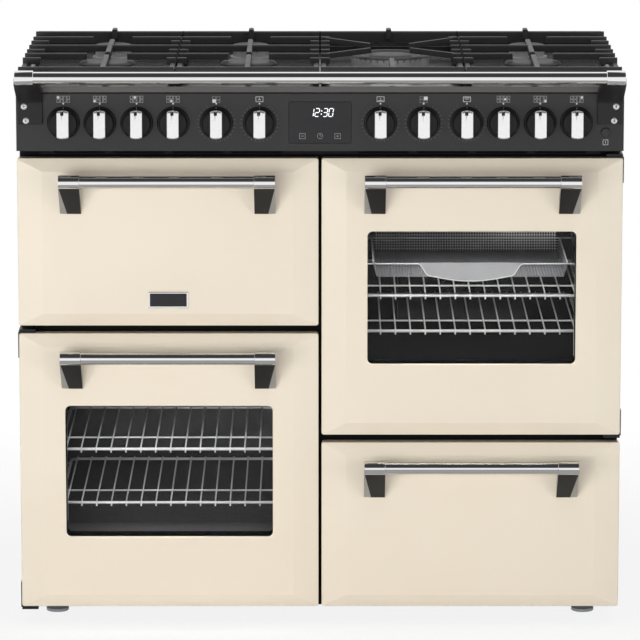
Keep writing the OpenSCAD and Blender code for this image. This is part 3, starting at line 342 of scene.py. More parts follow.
def new_material(name, shown):
    """An empty node material and its Object coordinates; shown is its plain viewport colour."""
    material = bpy.data.materials.new(name)
    material.use_nodes = True
    material.diffuse_color = linear(shown)
    tree = material.node_tree
    tree.nodes.clear()
    return material, tree, add(tree, "ShaderNodeTexCoord").outputs["Object"]


def noise(tree, place, size, detail=2.0):
    """Noise with lumps of a size in mm, about 0 to 1."""
    return add(tree, "ShaderNodeTexNoise", {"Scale": 1 / (size * MM), "Detail": detail},
               {"Vector": place}).outputs["Fac"]


def blend(tree, share, first, second):
    """Colour from one hex code to another by a share."""
    return add(tree, "ShaderNodeMix", {6: linear(first), 7: linear(second)}, {0: share},
               data_type="RGBA").outputs[2]


def rescale(tree, value, low, high, start=0.0, end=1.0):
    """Maps start to low and end to high, and stops there."""
    return add(tree, "ShaderNodeMapRange", {"From Min": start, "From Max": end, "To Min": low,
                                            "To Max": high}, {"Value": value}).outputs["Result"]


def bump(tree, pattern, height, below=None):
    """Normal of a surface that a pattern raises by up to a height in mm, over one below it."""
    links = {"Height": pattern, "Normal": below} if below else {"Height": pattern}
    return add(tree, "ShaderNodeBump", {"Strength": 1.0, "Distance": height * MM},
               links).outputs["Normal"]


def mix_shaders(tree, share, first, second):
    """One shader where the share is 0, another where it is 1."""
    return add(tree, "ShaderNodeMixShader", links={0: share, 1: first, 2: second}).outputs[0]


def principled(tree, inputs, links):
    """Principled shader with its constant values and its linked patterns, at the output."""
    shader = add(tree, "ShaderNodeBsdfPrincipled", inputs, links)
    add(tree, "ShaderNodeOutputMaterial", links={"Surface": shader.outputs["BSDF"]})


LEAST_ROUGHNESS = 0.02


def finish(name, dark, light, roughness, metallic=0.0, specular=0.5, tone=60.0, grain=(0.6, 0.02),
           wave=None, polish=0.05, **shader):
    """A solid finish with a slow change of tone, a fine grain and a longer wave in its surface.

    Tone: noise of that size blends the dark and the light colour, and moves the roughness up and
    down by polish. Grain and wave: noise of the first size raises the surface by the second.
    """
    material, tree, place = new_material(name, light)
    slow = noise(tree, place, tone, 3.0)
    normal = bump(tree, noise(tree, place, grain[0]), grain[1])
    if wave:
        normal = bump(tree, noise(tree, place, wave[0], 0.0), wave[1], normal)
    gloss = rescale(tree, slow, max(roughness - polish, LEAST_ROUGHNESS), roughness + polish)
    principled(tree, {"Metallic": metallic, "Specular IOR Level": specular, **shader},
               {"Base Color": blend(tree, slow, dark, light), "Normal": normal,
                "Roughness": gloss})
    return material


# %% [markdown]
# ### Enamels and paints
# Vitreous enamel is glass fired on steel: a clear gloss over one deep colour, with a faint orange
# peel a few millimetres long that makes reflections tremble. The control panel has a satin powder
# enamel, the oven liners a dark enamel with tiny light specks, and the cast iron a matt enamel that
# keeps the sand-cast grain.

# %% Enamels
cream_enamel = finish("vitreous enamel, cream", "#ECE0CC", "#F0E5D3", 0.16, tone=240, polish=0.03,
                      grain=(1.4, 0.003), wave=(7, 0.012), IOR=1.5)
black_enamel = finish("vitreous enamel, black", "#161617", "#1C1C1E", 0.14, tone=160, polish=0.04,
                      grain=(1.4, 0.003), wave=(6, 0.01), IOR=1.5)
hob_enamel = finish("vitreous enamel, hob black", "#1D1D1E", "#232324", 0.2, tone=120,
                    grain=(1.2, 0.004), wave=(6, 0.01), IOR=1.5)
# Partly real, partly painted shade: the front frame is black enamel, and its extra dark, matt tone
# paints the shade in the gaps between the doors.
frame_gap_shade = finish("matt enamel, frame black, gap shade", "#0F0F10", "#131314", 0.5, specular=0.2, tone=90,
                      grain=(0.6, 0.01))
satin_enamel = finish("satin enamel, charcoal", "#2C2C2D", "#323233", 0.36, specular=0.3, tone=180,
                      grain=(0.5, 0.01))
# Painted sheen: the black tray's front face gets this mid grey, which stands in for the light it
# catches.
front_face_sheen = finish("hob front face, painted sheen", "#474644", "#575653", 0.3, tone=220,
                     grain=(0.5, 0.008))
bracket_paint = finish("satin paint, black", "#1B1B1C", "#212122", 0.4, specular=0.3,
                       grain=(0.4, 0.01))
iron_enamel = finish("cast iron, matt enamelled", "#343435", "#3E3E3F", 0.46, specular=0.35,
                     tone=22, polish=0.1, grain=(0.9, 0.06), wave=(5, 0.05))
# Partly real, partly painted light: the caps are black enamel, and their grey is set lighter to
# make up for the weak light between the bars.
cap_enamel = finish("burner cap enamel, lightened", "#3E3E40", "#4A4A4C", 0.46, specular=0.12, tone=30,
                    polish=0.08, grain=(0.8, 0.015), wave=(4, 0.02))


def speckled_enamel(name, ground, speckle):
    """Dark oven enamel: the nearest point of a 2.2 mm cell pattern makes a light speck."""
    material, tree, place = new_material(name, ground)
    cells = add(tree, "ShaderNodeTexVoronoi", {"Scale": 1 / (2.2 * MM)}, {"Vector": place})
    speck = rescale(tree, cells.outputs["Distance"], 1.0, 0.0, 0.1, 0.2)
    principled(tree, {"Roughness": 0.3, "IOR": 1.5},
               {"Base Color": blend(tree, speck, ground, speckle),
                "Normal": bump(tree, noise(tree, place, 5), 0.02)})
    return material


oven_enamel = speckled_enamel("vitreous enamel, speckled", "#2B2B2C", "#757577")
fan_oven_enamel = speckled_enamel("vitreous enamel, easy clean", "#0E0E0F", "#2A2A2C")
print("enamels:", sum("enamel" in material.name for material in bpy.data.materials))

# %% [markdown]
# ### Metals
# Chrome plate mirrors the room and shows almost nothing of its own; on the door handles its edge
# tint is darker, as on the photograph's bars. The knobs' grips are satin chrome, blasted before
# plating, so that they read as a soft white. The burners are die-cast aluminium, the back is
# zinc-coated steel with its spangle, the shelves are bright plated wire.

# %% Metals
CHROME = {"metallic": 1.0, "tone": 40, "polish": 0.015, "grain": (0.5, 0.0006)}
chrome = finish("chrome plate, polished", "#E8E8E8", "#F0F0F0", 0.05, **CHROME)
bar_chrome = finish("chrome plate, handle bars", "#E8E8E8", "#F0F0F0", 0.05, **CHROME,
                    **{"Specular Tint": linear("#303030")})
satin_chrome = finish("chrome plate, satin", "#F0F0F0", "#FAFAFA", 0.24, 1.0, tone=8, polish=0.04,
                      grain=(0.25, 0.002))
screw_zinc = finish("zinc plated screw", "#DADADA", "#ECECEC", 0.3, 0.6, tone=4, grain=(0.3, 0.004))
machined_cheek = finish("machined alloy", "#A9A8A6", "#B8B7B5", 0.34, 0.7, tone=10, polish=0.04,
                        grain=(0.3, 0.004))
wire_chrome = finish("nickel plated wire", "#D4D4D4", "#EAEAEA", 0.3, 0.5, tone=20,
                     grain=(0.5, 0.004))
cast_aluminium = finish("die-cast aluminium", "#C6C6C7", "#DCDCDD", 0.34, 0.45, tone=12,
                        polish=0.06, grain=(0.5, 0.02))
basket_steel = finish("stainless wire, brushed", "#77777A", "#8C8C8E", 0.4, 0.5, tone=14,
                      grain=(0.4, 0.01))
plate_steel = finish("stainless plate, brushed", "#A4A4A5", "#B2B2B3", 0.5, 0.6, tone=30,
                     grain=(0.3, 0.006))
element_steel = finish("element tube, heat tinted", "#4A4440", "#6D6259", 0.45, 0.8, tone=25,
                       polish=0.1)
foot_steel = finish("zinc plated foot", "#A6A8AA", "#BCBEC0", 0.4, 0.6, tone=10, grain=(0.5, 0.02))
fan_steel = finish("sheet steel, oven fan", "#3A3A3C", "#48484A", 0.5, 0.7, tone=20,
                   grain=(0.5, 0.01))
brass = finish("machined brass", "#A88A4C", "#BDA066", 0.3, 1.0, tone=15, grain=(0.3, 0.01))


def spangled_zinc():
    """Hot-dip zinc: cells of 14 mm, each a slightly different grey, with its own gloss."""
    material, tree, place = new_material("zinc coated steel, spangled", "#8F9296")
    cells = add(tree, "ShaderNodeTexVoronoi", {"Scale": 1 / (14 * MM)}, {"Vector": place})
    tone = add(tree, "ShaderNodeSeparateColor", links={"Color": cells.outputs["Color"]}).outputs
    principled(tree, {"Metallic": 0.85}, {"Base Color": blend(tree, tone[0], "#7F8286", "#A2A5A9"),
                                          "Roughness": rescale(tree, tone[1], 0.32, 0.5)})
    return material


zinc = spangled_zinc()

# %% [markdown]
# ### Plastics, ceramic, wool, seal and print
# The knobs are moulded gloss plastic. The electrodes' sleeves are glazed alumina. Glass wool is a
# felt of yellow fibres, and the door seal a braid of glass yarn, drawn here as crossing waves.

# %% Plastics and soft linings
knob_plastic = finish("moulded plastic, gloss black", "#131314", "#18181A", 0.2, specular=0.22,
                      tone=20, polish=0.04, grain=(0.4, 0.003))
button_plastic = finish("moulded plastic, charcoal", "#2C2C2D", "#343435", 0.34, specular=0.3,
                        tone=10, grain=(0.4, 0.006))
clock_gloss = finish("printed glass, charcoal", "#28282A", "#2C2C2E", 0.08, specular=0.25, tone=80,
                     polish=0.02, grain=(0.6, 0.0008))
# Painted shade: a near-black finish put in slots, notches and gaps where only shadow lies.
painted_shade = finish("unlit hollow", "#0B0B0C", "#101011", 0.7, tone=20)
glazed_ceramic = finish("glazed alumina", "#BDBAB3", "#CFCCC5", 0.22, tone=6, grain=(0.4, 0.006))
print_white = finish("screen print, light grey", "#C6C7C8", "#D6D7D8", 0.5, tone=4,
                     grain=(0.3, 0.003))
print_grey = finish("screen print, mid grey", "#87888A", "#949597", 0.5, tone=4, grain=(0.3, 0.003))
glass_wool = finish("glass wool", "#A08A4A", "#D9C889", 0.95, tone=9, grain=(1.2, 0.9))


def braided_seal():
    """Glass-yarn braid: two wave patterns of 3 mm cross and lift the yarns."""
    material, tree, place = new_material("glass fibre braid", "#5C5D60")
    lifts = [add(tree, "ShaderNodeTexWave", {"Scale": 1 / (3 * MM) / 6.28, "Distortion": 0.4},
                 {"Vector": place}, bands_direction=direction).outputs["Fac"]
             for direction in ("DIAGONAL", "X")]
    both = add(tree, "ShaderNodeMath", links=dict(enumerate(lifts)),
               operation="MULTIPLY").outputs[0]
    principled(tree, {"Roughness": 0.85}, {"Base Color": blend(tree, both, "#3A3B3D", "#77787B"),
                                           "Normal": bump(tree, both, 0.6)})
    return material


def lit_digits():
    """Clock segments that shine a cool white, slightly uneven as a diffuser makes them."""
    material, tree, place = new_material("lit display segments", "#F4F7FA")
    colour = blend(tree, noise(tree, place, 4), "#E2E8EE", "#FFFFFF")
    principled(tree, {"Roughness": 0.4, "Emission Strength": 0.7},
               {"Base Color": colour, "Emission Color": colour})
    return material


seal_braid, digit_light = braided_seal(), lit_digits()

# %% [markdown]
# ### Window glass
# Two panes of float glass with an anti-glare coat, so the refractive index is set low. A path
# tracer would leave the ovens dark, because its lamps aren't seen through refracting glass, so for
# shadow rays the pane is simply see-through.

# %% Window glass
def window_glass():
    """Principled glass, mixed with a tinted transparent shader where Is Shadow Ray is 1."""
    material, tree, place = new_material("float glass, anti-glare", "#A0A0A0")
    smear = noise(tree, place, 60)
    tint = blend(tree, smear, "#F2F2F2", "#F7F7F7")
    glass = add(tree, "ShaderNodeBsdfPrincipled", {"Transmission Weight": 1.0, "IOR": 1.12},
                {"Base Color": tint, "Roughness": rescale(tree, smear, 0.0, 0.02)})
    clear = add(tree, "ShaderNodeBsdfTransparent", links={"Color": tint})
    shadow = add(tree, "ShaderNodeLightPath").outputs["Is Shadow Ray"]
    both = mix_shaders(tree, shadow, glass.outputs[0], clear.outputs[0])
    add(tree, "ShaderNodeOutputMaterial", links={"Surface": both})
    return material


window_pane = window_glass()
print("materials:", len(bpy.data.materials))

# %% [markdown]
# ## Construction nodes that stay
# Liners, carcass, taps and other inner pieces keep their construction mesh and get the finish of
# their slot.

# %% Materials on the construction nodes
KEPT = {
    frame_gap_shade: ["front_frame"],
    black_enamel: ["side_panels", "grill_door_liner", "main_door_liner", "fan_door_liner",
                   "slow_door_liner"],
    oven_enamel: ["grill_cavity", "main_oven_cavity", "slow_cook_cavity", "grill_pan"],
    fan_oven_enamel: ["fan_oven_cavity", "fan_cover"],
    zinc: ["back_panel", "chassis", "fan_motor"],
    glass_wool: ["insulation"],
    seal_braid: ["door_seals"],
    foot_steel: ["feet"],
    brass: ["taps_and_switches", "gas_manifold"],
    bracket_paint: ["door_hinges"],
    glazed_ceramic: ["spark_electrodes"],
    fan_steel: ["convection_fan"],
    element_steel: ["grill_element"],
    window_pane: ["main_door_glass", "fan_door_glass"],
    button_plastic: ["push_button"],
}
for material, nodes in KEPT.items():
    for node in nodes:
        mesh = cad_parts[node].data
        mesh.materials.clear()
        mesh.materials.append(material)
print("kept nodes:", sum(len(nodes) for nodes in KEPT.values()))

# %% [markdown]
# ## Doors
# Each door is one pressed sheet. Round a flat middle its four edges fall back in wide bevels that
# meet in mitres, then turn over a small radius into returns. Such a shell is a stack of rounded
# rectangles: the outer side goes from the middle to the rim of the return, and the inner side comes
# back a sheet's thickness inside it. A windowed door starts and ends at the window's turned edge.

# %% Door sizes
SHEET = 1.5
BEVEL_SIDE, BEVEL_END, BEVEL_FALL = 40.0, 20.0, 9.0
FLAT_CORNER, DOOR_CORNER, LEAST_CORNER = 0.6, 4.0, 0.3
EDGE_R, SKIN_D, RIM_IN, RIM_D = 2.0, 30.0, 0.4, 0.5
WINDOW_HALF_W, WINDOW_HALF_H, WINDOW_R = 172.5, 111.5, 8.5
WINDOW_TURN_D, WINDOW_EDGE_R, WINDOW_FLAT = 5.0, 1.6, 8.0
QUARTER = np.radians([30, 60, 90])


def grown(ring, out, depth):
    """A ring with every side moved out, at another depth."""
    return ring[0] + out, ring[1] + out, ring[2] + out, depth


def bevel_ring(half_w, half_h, share):
    """Ring at a share of the bevel's width, where 0.8 share + 0.2 share^2 of the fall is done."""
    return (half_w - EDGE_R - BEVEL_SIDE * (1 - share), half_h - EDGE_R - BEVEL_END * (1 - share),
            FLAT_CORNER + (DOOR_CORNER - EDGE_R - FLAT_CORNER) * share,
            (BEVEL_FALL - EDGE_R / 2) * (0.8 * share + 0.2 * share ** 2))


def outer_rings(half_w, half_h):
    """Rings from the flat middle over the bevel and the edge to the rim of the return."""
    rings = [bevel_ring(half_w, half_h, share) for share in (0.0, 0.04, 0.3, 0.6, 0.9, 1.0)]
    rings += [grown(rings[5], EDGE_R * math.sin(a), rings[5][3] + EDGE_R * (1 - math.cos(a)))
              for a in QUARTER]
    return rings + [(half_w, half_h, DOOR_CORNER, SKIN_D - RIM_D),
                    (half_w - RIM_IN, half_h - RIM_IN, DOOR_CORNER, SKIN_D)]


def inner_rings(outer):
    """The same rings set in by the sheet, in the opposite order."""
    return [(w - SHEET, h - SHEET, max(r - SHEET, LEAST_CORNER), d if d > SKIN_D - 1 else d + SHEET)
            for w, h, r, d in reversed(outer)]


def window_rings():
    """Turned edge of a window, from its rear edge forward and out onto the flat face."""
    edge = (WINDOW_HALF_W, WINDOW_HALF_H, WINDOW_R, WINDOW_EDGE_R)
    return ([grown(edge, 0, WINDOW_TURN_D), edge]
            + [grown(edge, WINDOW_EDGE_R * (1 - math.cos(a)), WINDOW_EDGE_R * (1 - math.sin(a)))
               for a in QUARTER] + [grown(edge, WINDOW_FLAT, 0.0)])


def behind_window(turned):
    """The turned edge's other side: set out and back by the sheet, in the opposite order."""
    return [(w + SHEET * (d > 0.1), h + SHEET * (d > 0.1), r, d if k == 0 else d + SHEET)
            for k, (w, h, r, d) in enumerate(turned)][::-1]


# %% [markdown]
# The hinge arms pass through the returns: a drop-down door's two arms at the bottom, a side-hung
# door's pins at the hinge corners. The openings for them are cut with boxes and the cut is applied.

# %% Make the doors
PIN_CUT_X, PIN_CUT_Y = (6.4, 22.0), (14.4, 34.0)  # from the hinge edge, behind the door faces
ARM_CUT_IN, ARM_CUT_HALF_W, ARM_CUT_Y = 23.0, 3.6, (10.1, 40.0)
CUT_HALF_H = 3.0


def cut_boxes(piece, lows, highs):
    """Cuts boxes out of a piece and keeps the cut mesh."""
    cutter = bpy.data.objects.new("cutter", new_mesh("cutter", *boxes(lows, highs)))
    bpy.context.scene.collection.objects.link(cutter)
    cut = piece.modifiers.new("cut", "BOOLEAN")
    cut.object, cut.operation, cut.solver = cutter, "DIFFERENCE", "EXACT"
    piece.modifiers.move(len(piece.modifiers) - 1, 0)
    for modifier in piece.modifiers:
        modifier.show_viewport = modifier == cut
    evaluated = piece.evaluated_get(bpy.context.evaluated_depsgraph_get())
    piece.data = bpy.data.meshes.new_from_object(evaluated)
    piece.modifiers.remove(cut)
    for modifier in piece.modifiers:
        modifier.show_viewport = True
    bpy.data.objects.remove(cutter)


def arm_cuts(door):
    """Lowest and highest corners of the boxes where hinge arms and pins pass the returns."""
    low, high = node_box(f"{door}_door_panel")
    if door in HINGE_SIDE:
        side = HINGE_SIDE[door]
        edge = low[0] if side == LEFT else high[0]
        spans = [sorted(edge - side * x * MM for x in PIN_CUT_X)]
        depths, levels = PIN_CUT_Y, (low[2], high[2])
    else:
        spans = [(x - ARM_CUT_HALF_W * MM, x + ARM_CUT_HALF_W * MM)
                 for x in (low[0] + ARM_CUT_IN * MM, high[0] - ARM_CUT_IN * MM)]
        depths, levels = ARM_CUT_Y, (low[2],)
    return [[[span[end], behind_doors(depths[end]), z + (2 * end - 1) * CUT_HALF_H * MM]
             for span in spans for z in levels] for end in (0, 1)]


def door_panel(door):
    """The enamelled shell of one door."""
    node = f"{door}_door_panel"
    half_w, _, half_h = half_size(node)
    outer = outer_rings(half_w, half_h)
    rings, turned = outer + inner_rings(outer), window_rings()
    if door in HINGE_SIDE:
        rings = turned + rings + behind_window(turned)
    shell = ring_loft(rings, face_middle(node), closed_loop=door in HINGE_SIDE)
    piece = make_piece(f"{door}_door_shell", [(*shell, cream_enamel)], DOORS[door], [node],
                       "cream_enamel", sharp=50, weighted=True)
    cut_boxes(piece, *arm_cuts(door))
    return piece


for door in DOORS:
    print(door_panel(door).name)

# %% [markdown]
# ## Bar handles
# A handle is a chromed tube whose ends sit in two wider ferrules, each on a leg that slants back
# and down to the door. The legs are dark castings with bright machined cheeks. The tube's gloss is
# all reflection, so its roundness matters more than its colour: 64 steps keep the bands clean.

# %% Handles
BAR_R, FERRULE_R, FERRULE_LEN, TUBE_STEPS = 9.75, 11.25, 35.0, 64
RIM_R, RIM_MIDDLE, STEP, END_T = 1.2, 0.3, 0.8, 3.0  # the ferrule's rim, step and end wall
HANDLE_REACH, HANDLE_DROP = 50.0, 31.5
LEG_H, LEG_FOOT_W, LEG_TOP_T, LEG_FOOT_T, LEG_PAD_H, LEG_BACK = 60.0, 23.0, 15.0, 3.0, 26.0, 0.2
LEG_TOP_SHARE, LEG_BEVEL = 0.55, 0.8


def bar_with_ferrules(centre, half_len, bar_r, ferrule_r, ferrule_len):
    """A bar along X: ferrule with rounded rims, a step down, the bar, and the same back."""
    middle = RIM_MIDDLE * RIM_R
    inward = [0, 0, middle, RIM_R, ferrule_len - STEP, ferrule_len, ferrule_len]
    radii = [ferrule_r - END_T, ferrule_r - RIM_R, ferrule_r - middle, ferrule_r, ferrule_r,
             ferrule_r - STEP, bar_r]
    end = np.column_stack([half_len - np.array(inward), radii])
    return revolve(np.concatenate([end * [-1, 1], end[::-1]]), centre, steps=TUBE_STEPS)


def leg_corners(side, end):
    """Corners of a leg: its top under the ferrule, its foot on the door and the heel above it."""
    inner = end - side * FERRULE_LEN
    toe = inner + side * LEG_FOOT_W
    front, rear = -HANDLE_REACH - LEG_TOP_T / 2, -HANDLE_REACH + LEG_TOP_T / 2
    top = -FERRULE_R * LEG_TOP_SHARE
    return np.array([
        (end, front, top), (inner, front, top), (inner, rear, top), (end, rear, top),
        (toe, -LEG_FOOT_T, -LEG_H), (inner, -LEG_FOOT_T, -LEG_H),
        (inner, -LEG_BACK, -LEG_H), (end, -LEG_BACK, -LEG_H),
        (inner, -LEG_BACK, LEG_PAD_H - LEG_H), (end, -LEG_BACK, LEG_PAD_H - LEG_H)]) * MM


def leg(corners):
    """A leg's parts: the hull of its corners, dark, and bright where it faces sideways."""
    solid = bmesh.new()
    bmesh.ops.convex_hull(solid, input=[solid.verts.new(corner) for corner in corners])
    join_flat(1)(solid)
    solid.verts.index_update()
    points = np.array([vert.co for vert in solid.verts])
    faces = [([vert.index for vert in face.verts], abs(face.normal.x) > 0.1)
             for face in solid.faces]
    solid.free()
    return [(points, [face for face, sideways in faces if sideways == bright], material)
            for bright, material in ((False, bracket_paint), (True, machined_cheek))]


def handle(door):
    """Parts of one door handle: the bar with its ferrules, and two legs."""
    node = f"{door}_door_handle"
    half_len, centre = half_size(node)[0], face_middle(node)
    centre[2] = node_box(f"{door}_door_panel")[1][2] - HANDLE_DROP * MM
    bar = bar_with_ferrules(centre - [0, HANDLE_REACH * MM, 0], half_len, BAR_R, FERRULE_R,
                            FERRULE_LEN)
    parts = [(*bar, bar_chrome)]
    for side in (LEFT, RIGHT):
        parts += leg(leg_corners(side, side * half_len) + centre)
    return parts


for door, body in DOORS.items():
    piece = make_piece(f"{door}_handle_bar", handle(door), body, [f"{door}_door_handle"], "chrome",
                       bevel=LEG_BEVEL)
    work_on(piece.data, merge_points(1e-7), drop_loose, turn_outward)
print("handles:", len(DOORS))

# %% [markdown]
# ## Knobs
# A knob is a turned skirt, a turned body with a rounded shoulder, and a satin chrome grip across
# it. The grip's front swells slightly, its ends follow the body's circle and a notch at its upper
# end points at the print; the notch is a near-black insert that paints its shade. The skirt has one
# light dot above the grip.

# %% Knobs
KNOBS = [f"gas_knob_{k}" for k in range(1, 8)] + [f"oven_knob_{k}" for k in range(1, 6)]
RING_R, BODY_R, KNOB_REACH, SPINDLE_R = 27.0, 23.5, 30.0, 4.0
GRIP_HALF_W, GRIP_HALF_H, GRIP_REAR, RIM_SHARE = 10.2, 23.4, -17.2, 0.985
FILLET, FILLET_MOST, CROWN, LEAN = 2.2, 3.4, 1.0, 2.0
HOLLOW_D, HOLLOW_X, HOLLOW_W, HOLLOW_POWER = 4.0, -1.5, 1.5, 1.6
LEAN_START, HOLLOW_START, END_TURN = 0.1, 0.05, 0.25
NOTCH_HALF_W, NOTCH_HALF_H, NOTCH_R, NOTCH_Z = 1.3, 3.1, 1.2, 18.6
DOT_Z = 24.9
SKIRT = [(-0.6, RING_R - 4), (-0.6, RING_R - 0.4), (-1.4, RING_R), (-2.4, RING_R - 0.2),
         (-3.4, RING_R - 1.2), (-3.8, RING_R - 3.2), (-3.2, RING_R - 3.7), (-3.2, BODY_R - 2)]
BARREL = [(-3.4, BODY_R - 2.5), (-3.4, BODY_R - 0.2), (-14, BODY_R - 0.6), (-15.6, BODY_R - 1.2),
          (-16.6, BODY_R - 2.6), (-17.0, BODY_R - 4.6), (-17.0, 4)]
DOT = [(-3.95, 0.6), (-3.7, 0.65), (-3.0, 0.65)]


def fillet(share, half):
    """Fall of a quarter round at the rim, for a share -1 to 1 of a half size."""
    rim = np.clip((1 - np.abs(share)) * half / FILLET, 0, 1)
    return FILLET * (1 - np.sqrt(1 - (1 - rim) ** 2))


def grip_points(centre):
    """The grip's front and rear as grids over (s across, t up), both from -1 to 1.

    Across: x = half width * s. Up: z = the body's circle at that x, times t. Depth: a fillet at the
    rim, a crown over the width, a fall back towards the upper end and a hollow beside the notch,
    which deepens upwards, so that its bottom faces the dark above. The rear rim lies on the body.
    """
    s = np.concatenate([[-1.0], np.linspace(-RIM_SHARE, -0.6, 5), np.linspace(-0.5, 0.3, 13),
                        np.linspace(0.4, RIM_SHARE, 6), [1.0]])
    t = -np.cos(np.linspace(END_TURN, np.pi - END_TURN, 21)) / math.cos(END_TURN) * RIM_SHARE
    across, up = np.meshgrid(s, np.concatenate([[-1.0], t, [1.0]]), indexing="ij")
    x = GRIP_HALF_W * across
    z = up * np.sqrt(GRIP_HALF_H ** 2 - x ** 2)
    falls = fillet(across, GRIP_HALF_W) + fillet(up, GRIP_HALF_H)
    lean = LEAN * np.clip((up - LEAN_START) / (1 - LEAN_START), 0, 1) ** 2
    deepens = np.clip((up - HOLLOW_START) / (1 - HOLLOW_START), 0, 1) ** HOLLOW_POWER
    hollow = HOLLOW_D * np.exp(-((x - HOLLOW_X) / HOLLOW_W) ** 2) * deepens * (np.abs(up) < 1)
    depth = -KNOB_REACH + CROWN * across ** 2 + np.minimum(falls, FILLET_MOST) + lean + hollow
    return [np.stack([x, y, z], axis=-1) * MM + centre for y in (depth, np.full_like(x, GRIP_REAR))]


def closed_sheets(front, back):
    """Two grids of the same shape joined round their border into one closed skin."""
    rows, columns = front.shape[:2]
    count = rows * columns
    near = grid_faces(rows, columns, wrap_columns=False)
    far = (np.array(near) + count).tolist()
    index = np.arange(count).reshape(rows, columns)
    border = np.concatenate([index[0, :-1], index[:-1, -1], index[-1, :0:-1], index[:0:-1, 0]])
    following = np.roll(border, -1)
    wall = np.column_stack([border, following, following + count, border + count]).tolist()
    return np.concatenate([front, back]).reshape(-1, 3), near + far + wall


def knob(node):
    """Skirt, body, grip, spindle, notch and dot of one knob."""
    centre = face_middle(node)
    rear = (node_box(node)[1][1] - door_face_y) / MM
    spindle = [(-3.0, SPINDLE_R), (rear - 0.6, SPINDLE_R), (rear, SPINDLE_R - 0.6)]
    notch = rounded_outline(NOTCH_HALF_W * MM, NOTCH_HALF_H * MM, NOTCH_R * MM, 4)
    notch = notch + [centre[0], centre[2] + NOTCH_Z * MM]
    return [(*revolve(SKIRT, centre, 1, 64), knob_plastic),
            (*revolve(BARREL, centre, 1, 64), knob_plastic),
            (*closed_sheets(*grip_points(centre)), satin_chrome),
            (*revolve(spindle, centre, 1, 24), brass),
            (*drawn(notch, 1, behind_doors(-KNOB_REACH - 0.05), behind_doors(-24)), painted_shade),
            (*revolve(DOT, centre + [0, 0, DOT_Z * MM], 1, 12), print_grey)]


for node in KNOBS:
    make_piece(node + "_dressed", knob(node), node, [node], "knob_black", sharp=38)
print("knobs:", len(KNOBS))

# %% [markdown]
# ## Control panel
# The folded panel keeps the construction's form with softened folds. On it come the towel rail, its
# two brackets with cross-head screws, the clock's glass with lit figures, and the printed marks.

# %% Panel, brackets and towel rail
softened("fascia", "root", 1.2, [satin_enamel], "fascia_enamel")

# a strap's middle line and its two edges: depth, height above the panel's top, thickness, x, x
STRAP = np.array([
    (-2.7, -50, 4.8, 456, 497), (-2.7, -30, 4.8, 456, 497), (-2.7, -16, 4.8, 456, 497.5),
    (-3.6, -11, 6.4, 456, 498), (-7.0, -5, 9.5, 456, 498.5), (-13.0, 1.0, 11.5, 456, 499),
    (-24.0, 9.5, 12.0, 457, 499.5), (-36.0, 17.5, 12.5, 459, 500), (-46.0, 24.0, 14.0, 462, 500),
    (-51.0, 27.0, 15.0, 464, 500)])


def strap(side):
    """A bent strap: a rectangle at each place along its middle line.

    Its corners are the line plus and minus half the thickness along the line's normal, at the two
    x of that place.
    """
    line, half = STRAP[:, :2], STRAP[:, 2:3] / 2
    along = np.gradient(line, axis=0)
    along /= np.linalg.norm(along, axis=1, keepdims=True)
    normal = np.column_stack([-along[:, 1], along[:, 0]])
    layers = np.stack([np.column_stack([side * STRAP[:, edge], line + sign * half * normal])
                       for edge, sign in ((3, 1), (4, 1), (4, -1), (3, -1))], axis=1)
    return skin(layers * MM + [0, door_face_y, fascia_high[2]])


make_piece("rail_bracket_straps", [(*strap(side), bracket_paint) for side in (LEFT, RIGHT)], "root",
           ["rail_brackets"], "bracket_paint", bevel=1.2)

RAIL_R, RAIL_FERRULE_R, RAIL_FERRULE_LEN = 9.75, 12.0, 31.0
rail = bar_with_ferrules(sum(node_box("towel_rail")) / 2, half_size("towel_rail")[0], RAIL_R,
                         RAIL_FERRULE_R, RAIL_FERRULE_LEN)
make_piece("towel_rail_bar", [(*rail, chrome)], "root", ["towel_rail"], "chrome", sharp=40)

SCREW_HEAD = [(0.9, 5.3), (0.0, 5.3), (-0.9, 4.8), (-1.5, 3.6), (-1.8, 1.8)]
SLOT_LONG, SLOT_SHORT, SLOT_Y = 2.6, 0.5, (-1.9, -1.2)
SCREW_PLACES = [(13.5, 20.5), (16.5, 44.0)]  # from the panel's side and from its top
SCREW_Y = -5.2


def cross_head_screw(centre):
    """Pan head with a cross slot, its flat rim on the bracket."""
    # the cross slot is a near-black box, which paints the shade inside it
    slots = [boxes(centre + np.array([-x, SLOT_Y[0], -z]) * MM,
                   centre + np.array([x, SLOT_Y[1], z]) * MM)
             for x, z in ((SLOT_LONG, SLOT_SHORT), (SLOT_SHORT, SLOT_LONG))]
    return [(*revolve(SCREW_HEAD, centre, 1, 32), screw_zinc),
            *[(*slot, painted_shade) for slot in slots]]


screws = []
for side in (LEFT, RIGHT):
    for from_side, from_top in SCREW_PLACES:
        screws += cross_head_screw(np.array([side * (fascia_high[0] - from_side * MM),
                                             behind_doors(SCREW_Y),
                                             fascia_high[2] - from_top * MM]))
make_piece("bracket_screw_heads", screws, "root", slot="chrome", sharp=40)
print("screws:", 2 * len(SCREW_PLACES))

# %% [markdown]
# The clock shows a plain time in seven-segment figures: each segment is a slim bar with pointed
# ends, and the figures lean by eight degrees. Below them are three touch marks.

# %% Clock
glass_w, _, glass_h = half_size("clock_panel")
CLOCK_RINGS = [(0.8, 2.4, -0.6), (0.2, 2.9, -0.4), (0, 3.0, 0.0), (0, 3.0, 3.0), (5, 1.0, 3.0),
               (5, 1.0, 19.3)]  # set in, corner radius, depth
clock = ring_loft([(glass_w - inset, glass_h - inset, r, d) for inset, r, d in CLOCK_RINGS],
                  face_middle("clock_panel"))
make_piece("clock_glass", [(*clock, clock_gloss)], "root", ["clock_panel"], "clock_glass", sharp=40)

